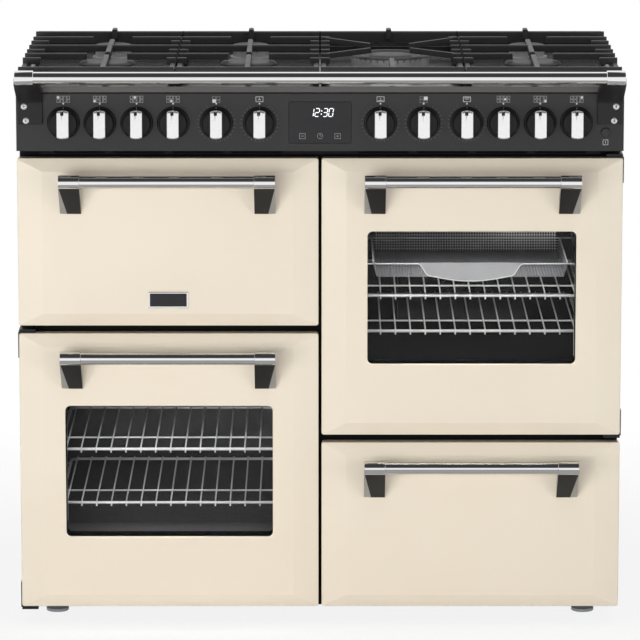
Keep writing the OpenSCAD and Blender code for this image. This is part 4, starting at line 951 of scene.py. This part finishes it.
SEGMENTS = {"0": "abcdef", "1": "bc", "2": "abged", "3": "abgcd"}
FIGURE_W, FIGURE_H, BAR_T, FIGURE_GAP = 6.6, 13.2, 1.4, 2.7
COLON_W, COLON_X, COLON_DOT = 4.0, 1.0, (0.95, 0.95, 0.4)
LEAN_SHARE, TIP_GAP = math.tan(math.radians(8)), 0.35
GLASS_FRONT, MARK_T, MARK_SUNK = -0.6, 0.12, 0.05
TIME_X, TIME_UP, TOUCH_X, TOUCH_DOWN = -18.0, 10.5, 29.0, 22  # from the middle of the knobs' row
knob_row_z = face_middle("gas_knob_1")[2]


def directions(start, end):
    """Unit vectors along a line and across it."""
    along = (end - start) / np.linalg.norm(end - start)
    return along, np.array([-along[1], along[0]])


def segment_bar(name):
    """One segment as six corners, in mm from the figure's lower left, before it leans."""
    w, h, t = FIGURE_W, FIGURE_H, BAR_T / 2
    ends = {"a": ((0, h), (w, h)), "g": ((0, h / 2), (w, h / 2)), "d": ((0, 0), (w, 0)),
            "f": ((0, h / 2), (0, h)), "e": ((0, 0), (0, h / 2)),
            "b": ((w, h / 2), (w, h)), "c": ((w, 0), (w, h / 2))}[name]
    start, end = np.array(ends, float)
    along, across = directions(start, end)
    start, end = start + TIP_GAP * along, end - TIP_GAP * along
    return np.array([start, start + t * (along + across), end + t * (across - along), end,
                     end - t * (along + across), start + t * (along - across)])


def flat_mark(outline, origin, material, front=GLASS_FRONT, thickness=MARK_T):
    """A thin printed or lit plate: an outline in mm placed from an origin (x, z) in metres."""
    front_y = behind_doors(front)
    plate = drawn(outline * MM + origin, 1, front_y - thickness * MM, front_y + MARK_SUNK * MM)
    return (*plate, material)


def figures(text, origin):
    """Seven-segment figures of a plain time: x moves right by the lean's share of the height."""
    outlines, x = [], 0.0
    for sign in text:
        if sign == ":":
            outlines += [rounded_outline(*COLON_DOT, 2) + [x + COLON_X + z * LEAN_SHARE, z]
                         for z in (FIGURE_H * 0.3, FIGURE_H * 0.7)]
            x += COLON_W
            continue
        for bar in map(segment_bar, SEGMENTS[sign]):
            outlines.append(np.column_stack([x + bar[:, 0] + bar[:, 1] * LEAN_SHARE, bar[:, 1]]))
        x += FIGURE_W + FIGURE_GAP
    return [flat_mark(outline, origin, digit_light) for outline in outlines]


def frame_mark(half_w, half_h, line, centre=(0, 0)):
    """Four bars that outline a rectangle, in mm."""
    bars = [(-half_w, half_w, half_h - line, half_h), (-half_w, half_w, -half_h, line - half_h),
            (-half_w, line - half_w, line - half_h, half_h - line),
            (half_w - line, half_w, line - half_h, half_h - line)]
    return [np.array([(x0, z0), (x1, z0), (x1, z1), (x0, z1)]) + centre for x0, x1, z0, z1 in bars]


def disc(radius, centre=(0, 0), steps=16):
    """Outline of a small disc, in mm."""
    turn = np.linspace(0, 2 * np.pi, steps, endpoint=False)
    return np.column_stack([np.cos(turn), np.sin(turn)]) * radius + centre


def strip(x0, z0, x1, z1, line):
    """Outline of a straight line of a given width, in mm."""
    start, end = np.array([x0, z0], float), np.array([x1, z1], float)
    half = directions(start, end)[1] * line / 2
    return np.array([start + half, end + half, end - half, start - half])


def touch_marks():
    """Minus, clock and plus, the first and the last in a thin frame."""
    turn = np.linspace(0, 2 * np.pi, 13)
    rim = np.column_stack([np.cos(turn), np.sin(turn)]) * 4.6
    dial = [strip(*a, *b, 0.7) for a, b in zip(rim[:-1], rim[1:])]
    minus = frame_mark(5.0, 4.6, 0.7) + [strip(-2.2, 0, 2.2, 0, 0.8)]
    signs = {-TOUCH_X: minus, 0.0: dial + [strip(0, 0, 0, 3.0, 0.7), strip(0, 0, 2.2, 0, 0.7)],
             TOUCH_X: minus + [strip(0, -2.2, 0, 2.2, 0.8)]}
    return [flat_mark(mark, [x * MM, knob_row_z - TOUCH_DOWN * MM], print_grey)
            for x, marks in signs.items() for mark in marks]


clock_text = figures("12:30", [TIME_X * MM, knob_row_z + TIME_UP * MM])
make_piece("clock_figures", clock_text + touch_marks(), "root", sharp=30)
print("clock marks:", len(clock_text))

# %% [markdown]
# ### Printed marks
# Above each gas knob a small plan of the seven burners shows which one it serves: six squares for
# the pairs and the wok burner's larger one. The oven knobs have a plan of the four ovens or a plain
# cavity outline, and a ring of ticks. All of them are plain generic signs, 0.1 mm thick.

# %% Marks on the control panel
SIGN_Z, INDEX_Z, INK = 39.0, 31.6, 0.1
TICKS, TICK_R, TICK_HALF, TICK_W = 25, 30.6, 0.9, 0.55
BURNER_GRID = [(-8.4, 3.0), (-8.4, -3.0), (-2.8, 3.0), (-2.8, -3.0), (2.8, 0.0), (8.4, 3.0),
               (8.4, -3.0)]
WOK_CELL = 4
BUTTON_SIGN_DOWN = 9
OVEN_GRID = [(-3.4, 2.2, 3.0, 2.2), (-3.4, -3.0, 3.0, 2.8), (3.4, 1.6, 3.0, 2.8),
             (3.4, -3.6, 3.0, 2.2)]


def inked(outlines, material):
    """Outlines paired with their print."""
    return [(outline, material) for outline in outlines]


def burner_plan(active):
    """Seven cells as the burners lie, with a bright disc in the active one."""
    marks = []
    for k, place in enumerate(BURNER_GRID):
        marks += inked(frame_mark(2.4, 5.6 if k == WOK_CELL else 2.6, 0.7, place), print_grey)
        if k == active:
            marks += inked([disc(1.9, place)], print_white)
    return marks


def oven_plan(active):
    """Four cavities as outlines, the active one filled."""
    marks = []
    for k, (x, z, half_w, half_h) in enumerate(OVEN_GRID):
        if k == active:
            marks += inked([rounded_outline(half_w, half_h, 0.4, 2) + [x, z]], print_white)
        else:
            marks += inked(frame_mark(half_w, half_h, 0.5, (x, z)), print_grey)
    return marks


def cavity_sign(kind):
    """A cavity outline with a plain sign in it: a fan of three blades, a grill or a shelf."""
    if kind == "fan":
        signs = [strip(0, 0, 2.8 * math.cos(a), 2.8 * math.sin(a), 0.9)
                 for a in np.radians([90, 210, 330])]
    elif kind == "grill":
        signs = [strip(-4.2, 2.4, 4.2, 2.4, 0.8)]
        signs += [strip(x, 1.2, x, -0.6, 0.6) for x in (-3, -1, 1, 3)]
    else:
        signs = [strip(-4.0, -2.2, 4.0, -2.2, 0.8), disc(0.9, (0, 0.4), 10)]
    return inked(frame_mark(6.2, 4.4, 0.7) + signs, print_white)


def tick_ring():
    """Small marks round a knob, over 300 degrees clockwise from 30 degrees right of its top."""
    turns = np.radians(90 - np.linspace(30, 330, TICKS))
    ends = [(radius * np.cos(turns), radius * np.sin(turns))
            for radius in (TICK_R - TICK_HALF, TICK_R + TICK_HALF)]
    return inked([strip(*four, TICK_W) for four in zip(*ends[0], *ends[1])], print_grey)


SIGNS = {f"gas_knob_{k + 1}": burner_plan(cell) for k, cell in enumerate((0, 1, 2, 3, 4, 6, 5))}
SIGNS.update({"oven_knob_1": oven_plan(1), "oven_knob_2": cavity_sign("fan"),
              "oven_knob_3": cavity_sign("shelf"), "oven_knob_4": oven_plan(2),
              "oven_knob_5": cavity_sign("grill")})
prints = []
for node, marks in SIGNS.items():
    origin = [face_middle(node)[0], knob_row_z]
    placed = [(outline + [0, SIGN_Z], material) for outline, material in marks]
    placed += inked([disc(1.35, (0, INDEX_Z), 14)], print_white)
    placed += tick_ring() if node.startswith("oven") else []
    prints += [flat_mark(outline, origin, material, 0, INK) for outline, material in placed]
origin = [face_middle("push_button")[0], node_box("push_button")[0][2] - BUTTON_SIGN_DOWN * MM]
for outline in frame_mark(4.4, 4.4, 0.7) + [strip(0, -2, 0, 2.2, 0.8)]:
    prints.append(flat_mark(outline, origin, print_white, 0, INK))
make_piece("panel_marks", prints, "root", sharp=30)
print("marks on the panel:", len(prints))

# %% [markdown]
# ## Badge frame
# A small chromed frame with a bare dark plate sits low in the middle of the grill door.

# %% Badge
BADGE_UP = 45
badge_centre = face_middle("grill_door_panel")
badge_centre[2] = node_box("grill_door_panel")[0][2] + BADGE_UP * MM
BADGE_RIM = [(33, 13.5, 1.6, 0.3), (33, 13.5, 1.6, -1.6), (32.2, 12.7, 1.2, -2.2),
             (30.6, 11.1, 0.8, -2.2), (30.0, 10.5, 0.6, -1.4), (30.0, 10.5, 0.6, 0.3)]
BADGE_PLATE = [(30.2, 10.7, 0.6, 0.3), (30.2, 10.7, 0.6, -1.2), (29.8, 10.3, 0.4, -1.3)]
make_piece("badge_frame", [(*ring_loft(BADGE_RIM, badge_centre, closed_loop=True), chrome),
                           (*ring_loft(BADGE_PLATE, badge_centre), clock_gloss)],
           "grill_door", sharp=30)

# %% [markdown]
# ## Hob
# The tray, the cast pan supports and the burner heads take softened copies. The caps are turned
# again with a fuller curve, because a cap is what the eye finds first between the bars. The tray's
# rear edge is turned up, and a near-black strip in the gap between its front edge and the panel
# paints the shadow line there.

# %% Hob tray, pan supports and burners
UPSTAND_T, UPSTAND_TOP, UPSTAND_FOOT, END_GAP, FRONT_REACH = 8.0, 20.5, 0.2, 3.0, 5.0
# the painted shadow strip's section: y from the tray's front edge, z from the panel's top
SHADOW_STRIP = [(-0.2, 0.3), (-1.3, 0.3), (-1.5, 1.3), (-1.1, 2.2), (-0.2, 2.2)]


def sheen_face(centres, normals):
    """1 for the tray's front face, which takes the painted sheen, 0 for the rest."""
    return (normals[:, 1] < -0.9) & (centres[:, 1] < fascia_low[1] + FRONT_REACH * MM)


softened("hob_tray", "root", 1.2, [hob_enamel, front_face_sheen], "black_enamel", chosen=sheen_face)
for k in range(1, 5):
    softened(f"pan_support_{k}", f"pan_support_{k}", 1.3, [iron_enamel], "cast_iron")
softened("burner_bodies", "root", 0.3, [cast_aluminium], "burner_aluminium")

tray_low, tray_high = node_box("hob_tray")
turn = np.linspace(0, np.pi, 9)
fold = np.column_stack([np.cos(turn) - 1, np.sin(turn) - 1]) * UPSTAND_T / 2 + [0, UPSTAND_TOP]
upstand = np.vstack([[0, UPSTAND_FOOT], fold, [-UPSTAND_T, UPSTAND_FOOT]]) * MM + tray_high[1:]
make_piece("hob_rear_upstand", [(*drawn(upstand, 0, tray_low[0] + END_GAP * MM,
                                        tray_high[0] - END_GAP * MM), hob_enamel)],
           "root", slot="black_enamel", sharp=40)
# a near-black strip under the tray's front edge, which paints the shadow line in the gap
seal = np.array(SHADOW_STRIP) * MM + [tray_low[1], fascia_high[2]]
make_piece("tray_edge_shadow_strip", [(*drawn(seal, 0, fascia_low[0] + END_GAP * MM,
                                      fascia_high[0] - END_GAP * MM), painted_shade)],
           "root", slot="fibre_seal", sharp=40)
print("upstand top at z =", round(float(upstand[:, 1].max()), 4))

PAIR_DEPTHS, WOK_DEPTH, OUTER_IN = (212, 446), 322, 10.5
outer_x = abs(face_middle("pan_support_1")[0]) - OUTER_IN * MM
inner_x = abs(face_middle("pan_support_2")[0])
BURNER_PLACES = [(x, behind_doors(depth)) for depth in PAIR_DEPTHS
                 for x in (-outer_x, -inner_x, outer_x)] + [(inner_x, behind_doors(WOK_DEPTH))]
CAP_REACH, WOK_LEAST_R, WOK_CAP_R, WOK_CAP_DROP, FLAT_IN = 70.0, 60.0, 36.0, 2.0, 9.0
CAP_STEPS = 96
# heights above the cap's foot and radii counted from its outer radius
WOK_RING = [(0.0, -14), (0.0, -0.6), (0.6, 0), (2.0, 0), (3.2, -1.0), (4.6, -3.2), (5.0, -5.2),
            (4.8, -9.0), (3.6, -12.0), (2.0, -14)]
CAP = [(0.2, -4), (0.0, -1.2), (0.5, -0.3), (1.4, 0), (2.8, -0.2), (4.2, -1.4), (5.4, -3.6),
       (6.2, -6.0), (6.7, -FLAT_IN)]
CAP_TOP = [(6.9, 0.72), (7.0, 0.3)]  # heights, and shares of the flat top's radius


def caps():
    """A turned cap on each burner and the wok burner's ring, sized from the cap node's points."""
    places = vectors(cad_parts["burner_caps"].data.vertices, "co")
    parts = []
    for x, y in BURNER_PLACES:
        away = np.hypot(places[:, 0] - x, places[:, 1] - y)
        near = away < CAP_REACH * MM
        radius, base = away[near].max() / MM, np.array([x, y, places[near, 2].min()])
        if radius > WOK_LEAST_R:
            ring = revolve(np.array(WOK_RING) + [0, radius], base, 2, CAP_STEPS, closed_loop=True)
            parts.append((*ring, cap_enamel))
            radius, base = WOK_CAP_R, base - [0, 0, WOK_CAP_DROP * MM]
        cap = [*(np.array(CAP) + [0, radius]), *(np.array(CAP_TOP) * [1, radius - FLAT_IN])]
        parts.append((*revolve(cap, base, 2, CAP_STEPS), cap_enamel))
    return parts


make_piece("burner_caps_turned", caps(), "root", ["burner_caps"], "cap_enamel", sharp=50)
print("burners:", len(BURNER_PLACES))

# %% [markdown]
# ## Oven shelves
# A shelf is welded wire: a frame of thick wires, thinner cross wires laid on it that bend down in
# front of the front bar, and a second bar behind. Every cross wire has the same side view, so one
# route serves for all of them. At both sides the shelf rests on a rack's U-shaped runners.

# %% Shelves and side racks
FRAME_WIRE, CROSS_WIRE, SECOND_WIRE, RUNG_WIRE, FRAME_SIDES = 5.0, 2.6, 3.0, 3.4, 12
SHELF_FRONT, SHELF_LEN, SECOND_BAR, WIRE_PITCH, WELD = 72.0, 350.0, 90.0, 25.0, 0.4
WIRE_END = [(4.0, 0.0), (0.0, -0.2), (-2.6, -1.4), (-4.2, -4.0), (-4.6, -8.6)]
OVEN_SHEET, LIP, TALL_H, SHORT_H, CAVITY_HALF_W = 1.5, 8.0, 385.0, 200.0, 195.0
PLAY, UPRIGHT_IN, UPRIGHT_FOOT, RUNNER_IN, RUNNER_REACH = 0.3, 30, 20, 10, 7.0
BEND_X, BEND_BACK, BEND_FRONT = 2.0, 6.0, 3.0  # of a runner's ends towards the wall
LADDER_X = CAVITY_HALF_W - RUNG_WIRE / 2 - PLAY
RUNG_X = LADDER_X - RUNNER_REACH
PAN_RUNG, BASKET_RUNG, TALL_TOP_RUNG, SHORT_TOP_RUNG = 60, 238, TALL_H - 75, SHORT_H - 70
RACKS = [("main_oven", TALL_H, (124, 216), (TALL_TOP_RUNG,)),
         ("fan_oven", TALL_H, (124, 184), (BASKET_RUNG, TALL_TOP_RUNG)),
         ("slow_cook", SHORT_H, (66,), (SHORT_TOP_RUNG,)),
         ("grill", SHORT_H, (), (PAN_RUNG, SHORT_TOP_RUNG))]


def rounded_frame(x, half_w, y0, y1, z, diameter, corner=14.0):
    """A frame wire as a closed loop with round corners, in the plane of the shelf."""
    flat = rounded_outline(half_w * MM, (y1 - y0) / 2, corner * MM) + [x, (y0 + y1) / 2]
    return wires(repeated(flat, 2, [z]), Z_AXIS, diameter, FRAME_SIDES, closed_loop=True)


def crossbar(x, half, y, z):
    """Ends of a straight wire from left to right, in metres."""
    return [[x - half, y, z], [x + half, y, z]]


def spaced(x, half_w, pitch):
    """Places about x at a pitch, as many as fit in the half width; both are in mm."""
    count = int(half_w / pitch)
    return x + np.arange(-count, count + 1) * pitch * MM


def shelf(x, z, half_w):
    """A wire shelf about x, its frame's axis at z, in metres; half_w is the frame's, in mm."""
    y0, y1 = behind_doors(SHELF_FRONT), behind_doors(SHELF_FRONT + SHELF_LEN)
    second = crossbar(x, half_w * MM, y0 + SECOND_BAR * MM,
                      z + (FRAME_WIRE - SECOND_WIRE) / 2 * MM)
    lift = (FRAME_WIRE + CROSS_WIRE) / 2 - WELD
    side_view = np.array([(SHELF_LEN, 0.0), *WIRE_END]) + [0, lift]
    routes = repeated(side_view * MM + [y0, z], 0, spaced(x, half_w - FRAME_WIRE, WIRE_PITCH))
    return [(*rounded_frame(x, half_w, y0, y1, z, FRAME_WIRE), wire_chrome),
            (*wires([second], Z_AXIS, SECOND_WIRE), wire_chrome),
            (*wires(routes, X_AXIS, CROSS_WIRE), wire_chrome)]


def oven_floor(name):
    """Middle x and floor height of an oven, from its liner, whose lip and sheet lie lower."""
    low, high = node_box(f"{name}_cavity")
    return (low[0] + high[0]) / 2, low[2] + (OVEN_SHEET + LIP) * MM


def ladder(x, wall, floor, height, rungs):
    """Side rack: two uprights on the oven wall and a U-shaped runner for each shelf place."""
    wall_x, rung_x = x + wall * LADDER_X * MM, x + wall * RUNG_X * MM
    bend_x = rung_x + wall * BEND_X * MM
    uprights = [[[wall_x, y, floor + UPRIGHT_FOOT * MM],
                 [wall_x, y, floor + (height - UPRIGHT_FOOT) * MM]]
                for y in (behind_doors(SHELF_FRONT + UPRIGHT_IN),
                          behind_doors(SHELF_FRONT + SHELF_LEN - UPRIGHT_IN))]
    near, far = (behind_doors(SHELF_FRONT + RUNNER_IN),
                 behind_doors(SHELF_FRONT + SHELF_LEN - RUNNER_IN))
    runner = [(wall_x, near + BEND_BACK * MM), (bend_x, near), (rung_x, near + BEND_FRONT * MM),
              (rung_x, far - BEND_FRONT * MM), (bend_x, far), (wall_x, far - BEND_BACK * MM)]
    levels = floor + (np.array(rungs) - FRAME_WIRE / 2 - PLAY - RUNG_WIRE / 2) * MM
    return [(*wires(uprights, X_AXIS, RUNG_WIRE), wire_chrome),
            (*wires(repeated(runner, 2, levels), Z_AXIS, RUNG_WIRE), wire_chrome)]


rack_parts = []
for oven, height, shelves, spare_rungs in RACKS:
    x, floor = oven_floor(oven)
    for z in shelves:
        rack_parts += shelf(x, floor + z * MM, RUNG_X)
    for wall in (LEFT, RIGHT):
        rack_parts += ladder(x, wall, floor, height, shelves + spare_rungs)
make_piece("oven_racks_wire", rack_parts, "root", ["oven_racks"], "chrome", sharp=60)
print("rack parts:", len(rack_parts))

# %% [markdown]
# ## Frying basket
# The basket is woven from thin wire: a fine floor, coarser upright walls at the back, a bright rim
# wire, and in front a bare brushed plate with an S-shaped lower edge. The weave is far finer than
# the render can show, so it is drawn at about twice its real pitch.

# %% Basket
BASKET_W, BASKET_LEN, BASKET_H, TAPER, BASKET_CORNER = 325.0, 265.0, 22.0, 6.0, 6.0
MESH_PITCH, MESH_WIRE, RIM_WIRE, RUNNER_WIRE = 5.0, 0.8, 2.4, 3.4
BACK_PITCH, BACK_WIRE, BACK_RISE = 4.4, 1.3, 26.0
LEVELS = (0.2, 0.4, 0.6, 0.8, 1.0)  # shares of the walls' height that have a wire
PLATE_HALF_W, PLATE_DROP, PLATE_SIDE_DROP, PLATE_TURN = 87.0, 29.0, 19.7, 18.0
PLATE_T, PLATE_WIRE, PLATE_TOP = 1.2, 1.9, 2.0


def basket(x, floor):
    """Rim, side hangers and runners, mesh floor and walls, and the rear fence of the basket."""
    inset, fall, rise = TAPER * MM, BASKET_H * MM, BACK_RISE * MM
    half, low_half, runner = BASKET_W / 2 * MM, (BASKET_W / 2 - TAPER) * MM, RUNG_X * MM
    y0, rim_z = behind_doors(SHELF_FRONT), floor + BASKET_RUNG * MM
    y1, low_z = y0 + BASKET_LEN * MM, rim_z - fall
    under_z = low_z - MESH_WIRE * MM
    hangers = [[[x + side * half, y, rim_z], [x + side * runner, y, rim_z]]
               for side in (LEFT, RIGHT) for y in (y0, y1)]
    runners = [[[x + side * runner, y, rim_z] for y in (y0, y1)] for side in (LEFT, RIGHT)]
    lengthways = repeated([(y0, rim_z), (y0 + inset, low_z), (y1 - inset, low_z), (y1, rim_z)], 0,
                          spaced(x, BASKET_W / 2 - TAPER, MESH_PITCH))
    crossways = repeated([(x - half, rim_z), (x - low_half, under_z), (x + low_half, under_z),
                          (x + half, rim_z)], 1, np.arange(y0 + inset, y1 - inset, MESH_PITCH * MM))
    front, back = ([crossbar(x, half - inset * share, y - outward * inset * share,
                             rim_z - fall * share) for share in LEVELS[:-1]]
                   for y, outward in ((y0, -1), (y1, 1)))
    fence = repeated([(y1 - inset, low_z), (y1, rim_z), (y1, rim_z + rise)], 0,
                     spaced(x, BASKET_W / 2 - TAPER, BACK_PITCH))
    rails = [crossbar(x, low_half, y1, rim_z + rise * share) for share in LEVELS] + back
    return [(*rounded_frame(x, BASKET_W / 2, y0, y1, rim_z, RIM_WIRE, BASKET_CORNER), wire_chrome),
            (*wires(hangers, Z_AXIS, RIM_WIRE), wire_chrome),
            (*wires(runners, Z_AXIS, RUNNER_WIRE), wire_chrome),
            (*wires(lengthways, X_AXIS, MESH_WIRE, 4), basket_steel),
            (*wires(crossways, Y_AXIS, MESH_WIRE, 4), basket_steel),
            (*wires(front, Z_AXIS, MESH_WIRE, 4), basket_steel),
            (*wires(fence, X_AXIS, BACK_WIRE, 5), wire_chrome),
            (*wires(rails, Z_AXIS, BACK_WIRE, 5), wire_chrome)]


def plate_edge():
    """Lower edge of the plate from left to right: an arc between S-shaped ends, in mm."""
    x = np.linspace(-PLATE_HALF_W, PLATE_HALF_W, 73)
    turn = PLATE_HALF_W - PLATE_TURN
    arc = np.cos(np.pi / 2 * np.clip(np.abs(x) / turn, 0, 1))
    arc = PLATE_SIDE_DROP + (PLATE_DROP - PLATE_SIDE_DROP) * arc
    ends = np.cos(np.pi * np.clip((np.abs(x) - turn) / PLATE_TURN, 0, 1))
    return np.column_stack([x, -np.where(np.abs(x) < turn, arc, PLATE_SIDE_DROP * (1 + ends) / 2)])


def front_plate(x, floor):
    """The bare plate and the bright wire that edges it."""
    front, rim = behind_doors(SHELF_FRONT - RIM_WIRE / 2), [x, floor + BASKET_RUNG * MM]
    edge = plate_edge()
    outline = np.vstack([[-PLATE_HALF_W, PLATE_TOP], edge, [PLATE_HALF_W, PLATE_TOP]]) * MM + rim
    route = repeated(edge * MM + rim, 1, [front - PLATE_T / 2 * MM])
    return [(*drawn(outline, 1, front - PLATE_T * MM, front), plate_steel),
            (*wires(route, Y_AXIS, PLATE_WIRE), wire_chrome)]


fan_oven = oven_floor("fan_oven")
make_piece("fryer_basket_wire", basket(*fan_oven) + front_plate(*fan_oven), "root",
           ["fryer_basket"], "basket_steel", sharp=60)
print("basket mesh wires across:", len(spaced(0, BASKET_W / 2 - TAPER, MESH_PITCH)))

# %% [markdown]
# ## Floor, light and camera
# The cooker stands on a pale floor in front of a white ground. Two large soft lamps from the front
# and one from above light it about evenly, and each windowed oven has two small lamps of its own.
# Chrome needs something to mirror: glossy rays see a bright band in front, a dark zone above it and
# a dark room behind, as in a photographer's tent.

# %% Floor
def by_ray(tree, usual, mirrored, seen):
    """A usual shader, another one for glossy rays, and a third for what the camera looks at."""
    rays = add(tree, "ShaderNodeLightPath").outputs
    looked_at = add(tree, "ShaderNodeMath", links={0: rays["Is Camera Ray"],
                                                   1: rays["Is Transmission Ray"]},
                    operation="MAXIMUM").outputs[0]
    indirect = mix_shaders(tree, rays["Is Glossy Ray"], usual, mirrored)
    return mix_shaders(tree, looked_at, indirect, seen)


def floor_material():
    """Pale floor: white to the camera apart from the shadow, a grey disc in white to glossy rays.

    Within about a metre of the middle a part of the camera's view is the plain lit floor, which
    carries the shadow; farther out it is white. Mirrors see it grey near the cooker, white far out.
    """
    material, tree, place = new_material("pale studio floor", "#F2F2F1")
    far = add(tree, "ShaderNodeVectorMath", links={0: place}, operation="LENGTH").outputs["Value"]
    lit = add(tree, "ShaderNodeBsdfDiffuse", {"Color": linear("#F1F1F0")}).outputs[0]
    white = add(tree, "ShaderNodeEmission",
                {"Color": linear("#FFFFFF"), "Strength": 1.0}).outputs[0]
    tone = blend(tree, rescale(tree, far, 0.0, 1.0, 1.35, 1.6), "#A2A2A2", "#FFFFFF")
    mirrored = add(tree, "ShaderNodeEmission", {"Strength": 1.0}, {"Color": tone}).outputs[0]
    seen = mix_shaders(tree, rescale(tree, far, 0.86, 1.0, 0.75, 1.5), lit, white)
    add(tree, "ShaderNodeOutputMaterial", links={"Surface": by_ray(tree, lit, mirrored, seen)})
    return material


FLOOR_HALF = 12
floor_mesh = bpy.data.meshes.new("floor")
floor_mesh.from_pydata([(x * FLOOR_HALF, y * FLOOR_HALF, 0)
                        for x, y in ((-1, -1), (1, -1), (1, 1), (-1, 1))], [], [[0, 1, 2, 3]])
floor_mesh.materials.append(floor_material())
floor = bpy.data.objects.new("floor", floor_mesh)
bpy.context.scene.collection.objects.link(floor)
print("floor:", 2 * FLOOR_HALF, "m wide")


# %% World
FRONT_BANDS = [(-1.0, "#8C8C8C"), (-0.1, "#D8D8D8"), (-0.02, "#FFFFFF"), (0.24, "#FFFFFF"),
               (0.36, "#666666"), (0.55, "#424242"), (0.9, "#3A3A3A"), (1.0, "#444444")]
BACK_BANDS = [(-1.0, "#2C2C2C"), (-0.3, "#2C2C2C"), (-0.22, "#FFFFFF"), (0.88, "#FFFFFF"),
              (0.96, "#4A4A4A"), (1.0, "#444444")]


def banded(tree, bands, height):
    """Colour ramp over a direction's height, from (height, hex) rows."""
    node = add(tree, "ShaderNodeValToRGB", links={"Fac": height})
    ramp = node.color_ramp
    for element, (level, code) in zip(ramp.elements, (bands[0], bands[-1])):
        element.position, element.color = (level + 1) / 2, linear(code)
    for level, code in bands[1:-1]:
        ramp.elements.new((level + 1) / 2).color = linear(code)
    return node.outputs["Color"]


def studio_world():
    """White to the camera; to glossy rays a tent, banded by the ray's height front and back."""
    world = bpy.data.worlds.new("studio")
    bpy.context.scene.world = world
    world.use_nodes = True
    tree = world.node_tree
    tree.nodes.clear()
    ray = add(tree, "ShaderNodeTexCoord").outputs["Generated"]
    split = add(tree, "ShaderNodeSeparateXYZ", links={"Vector": ray}).outputs
    height = rescale(tree, split["Z"], 0.0, 1.0, -1.0, 1.0)
    tent = add(tree, "ShaderNodeMix", links={0: rescale(tree, split["Y"], 0.0, 1.0, -0.15, 0.35),
                                             6: banded(tree, FRONT_BANDS, height),
                                             7: banded(tree, BACK_BANDS, height)},
               data_type="RGBA").outputs[2]
    glossy = add(tree, "ShaderNodeBackground", {"Strength": 1.0}, {"Color": tent})
    plain, white = (add(tree, "ShaderNodeBackground",
                        {"Color": linear("#FFFFFF"), "Strength": power}) for power in (0.35, 1.0))
    final = by_ray(tree, plain.outputs[0], glossy.outputs[0], white.outputs[0])
    add(tree, "ShaderNodeOutputWorld", links={"Surface": final})
    return world


print("world:", studio_world().name)


# %% Lamps and camera
def turned_to(holder, place, aim):
    """Links a lamp or camera into the scene, at a place and facing a point."""
    holder.location = place
    direction = np.array(aim) - np.array(place)
    holder.rotation_euler = Vector(direction).to_track_quat("-Z", "Y").to_euler()
    bpy.context.scene.collection.objects.link(holder)
    return holder


def lamp(name, place, aim, size, power, spread=180.0):
    """A soft area lamp that faces a point; its spread is the width of its beam in degrees."""
    light = bpy.data.lights.new(name, "AREA")
    light.shape, light.size, light.size_y, light.energy = "RECTANGLE", size[0], size[1], power
    light.spread = math.radians(spread)
    turned_to(bpy.data.objects.new(name, light), place, aim).visible_glossy = False


MIDDLE = (0.0, 0.0, 0.5)
lamp("front softbox", (-1.6, -3.4, 0.46), MIDDLE, (2.4, 0.85), 56)
lamp("right softbox", (2.4, -2.8, 0.55), MIDDLE, (1.6, 1.0), 20)
lamp("top softbox", (0.0, -0.3, 3.0), (0, 0, 0.9), (2.4, 1.4), 26)
# a lamp's depth, its height over the oven floor, the depth of its aim, size, spread, both powers
OVEN_LAMPS = {"shelf lamp": (66, 0.37, 120, (0.3, 0.02), 100, (0.8, 0.9)),
              "floor lamp": (390, 0.11, 390, (0.34, 0.06), 110, (0.5, 1.2))}
for k, oven in enumerate(("main_oven", "fan_oven")):
    x, floor_z = oven_floor(oven)
    for kind, (depth, height, aim_depth, size, spread, powers) in OVEN_LAMPS.items():
        lamp(f"{oven} {kind}", (x, behind_doors(depth), floor_z + height),
             (x, behind_doors(aim_depth), floor_z), size, powers[k], spread)

CAMERA_PLACE, CAMERA_AIM = (0.0, -7.77, 1.9), (0.0, -0.27, 0.5215)
LENS, SENSOR_W, CLIP_END = 258.8, 36.0, 100.0
camera_data = bpy.data.cameras.new("camera")
camera_data.lens, camera_data.sensor_width, camera_data.clip_end = LENS, SENSOR_W, CLIP_END
camera = turned_to(bpy.data.objects.new("camera", camera_data), CAMERA_PLACE, CAMERA_AIM)
bpy.context.scene.camera = camera
bpy.context.scene.view_settings.view_transform = "Standard"
print("lamps:", len(bpy.data.lights))
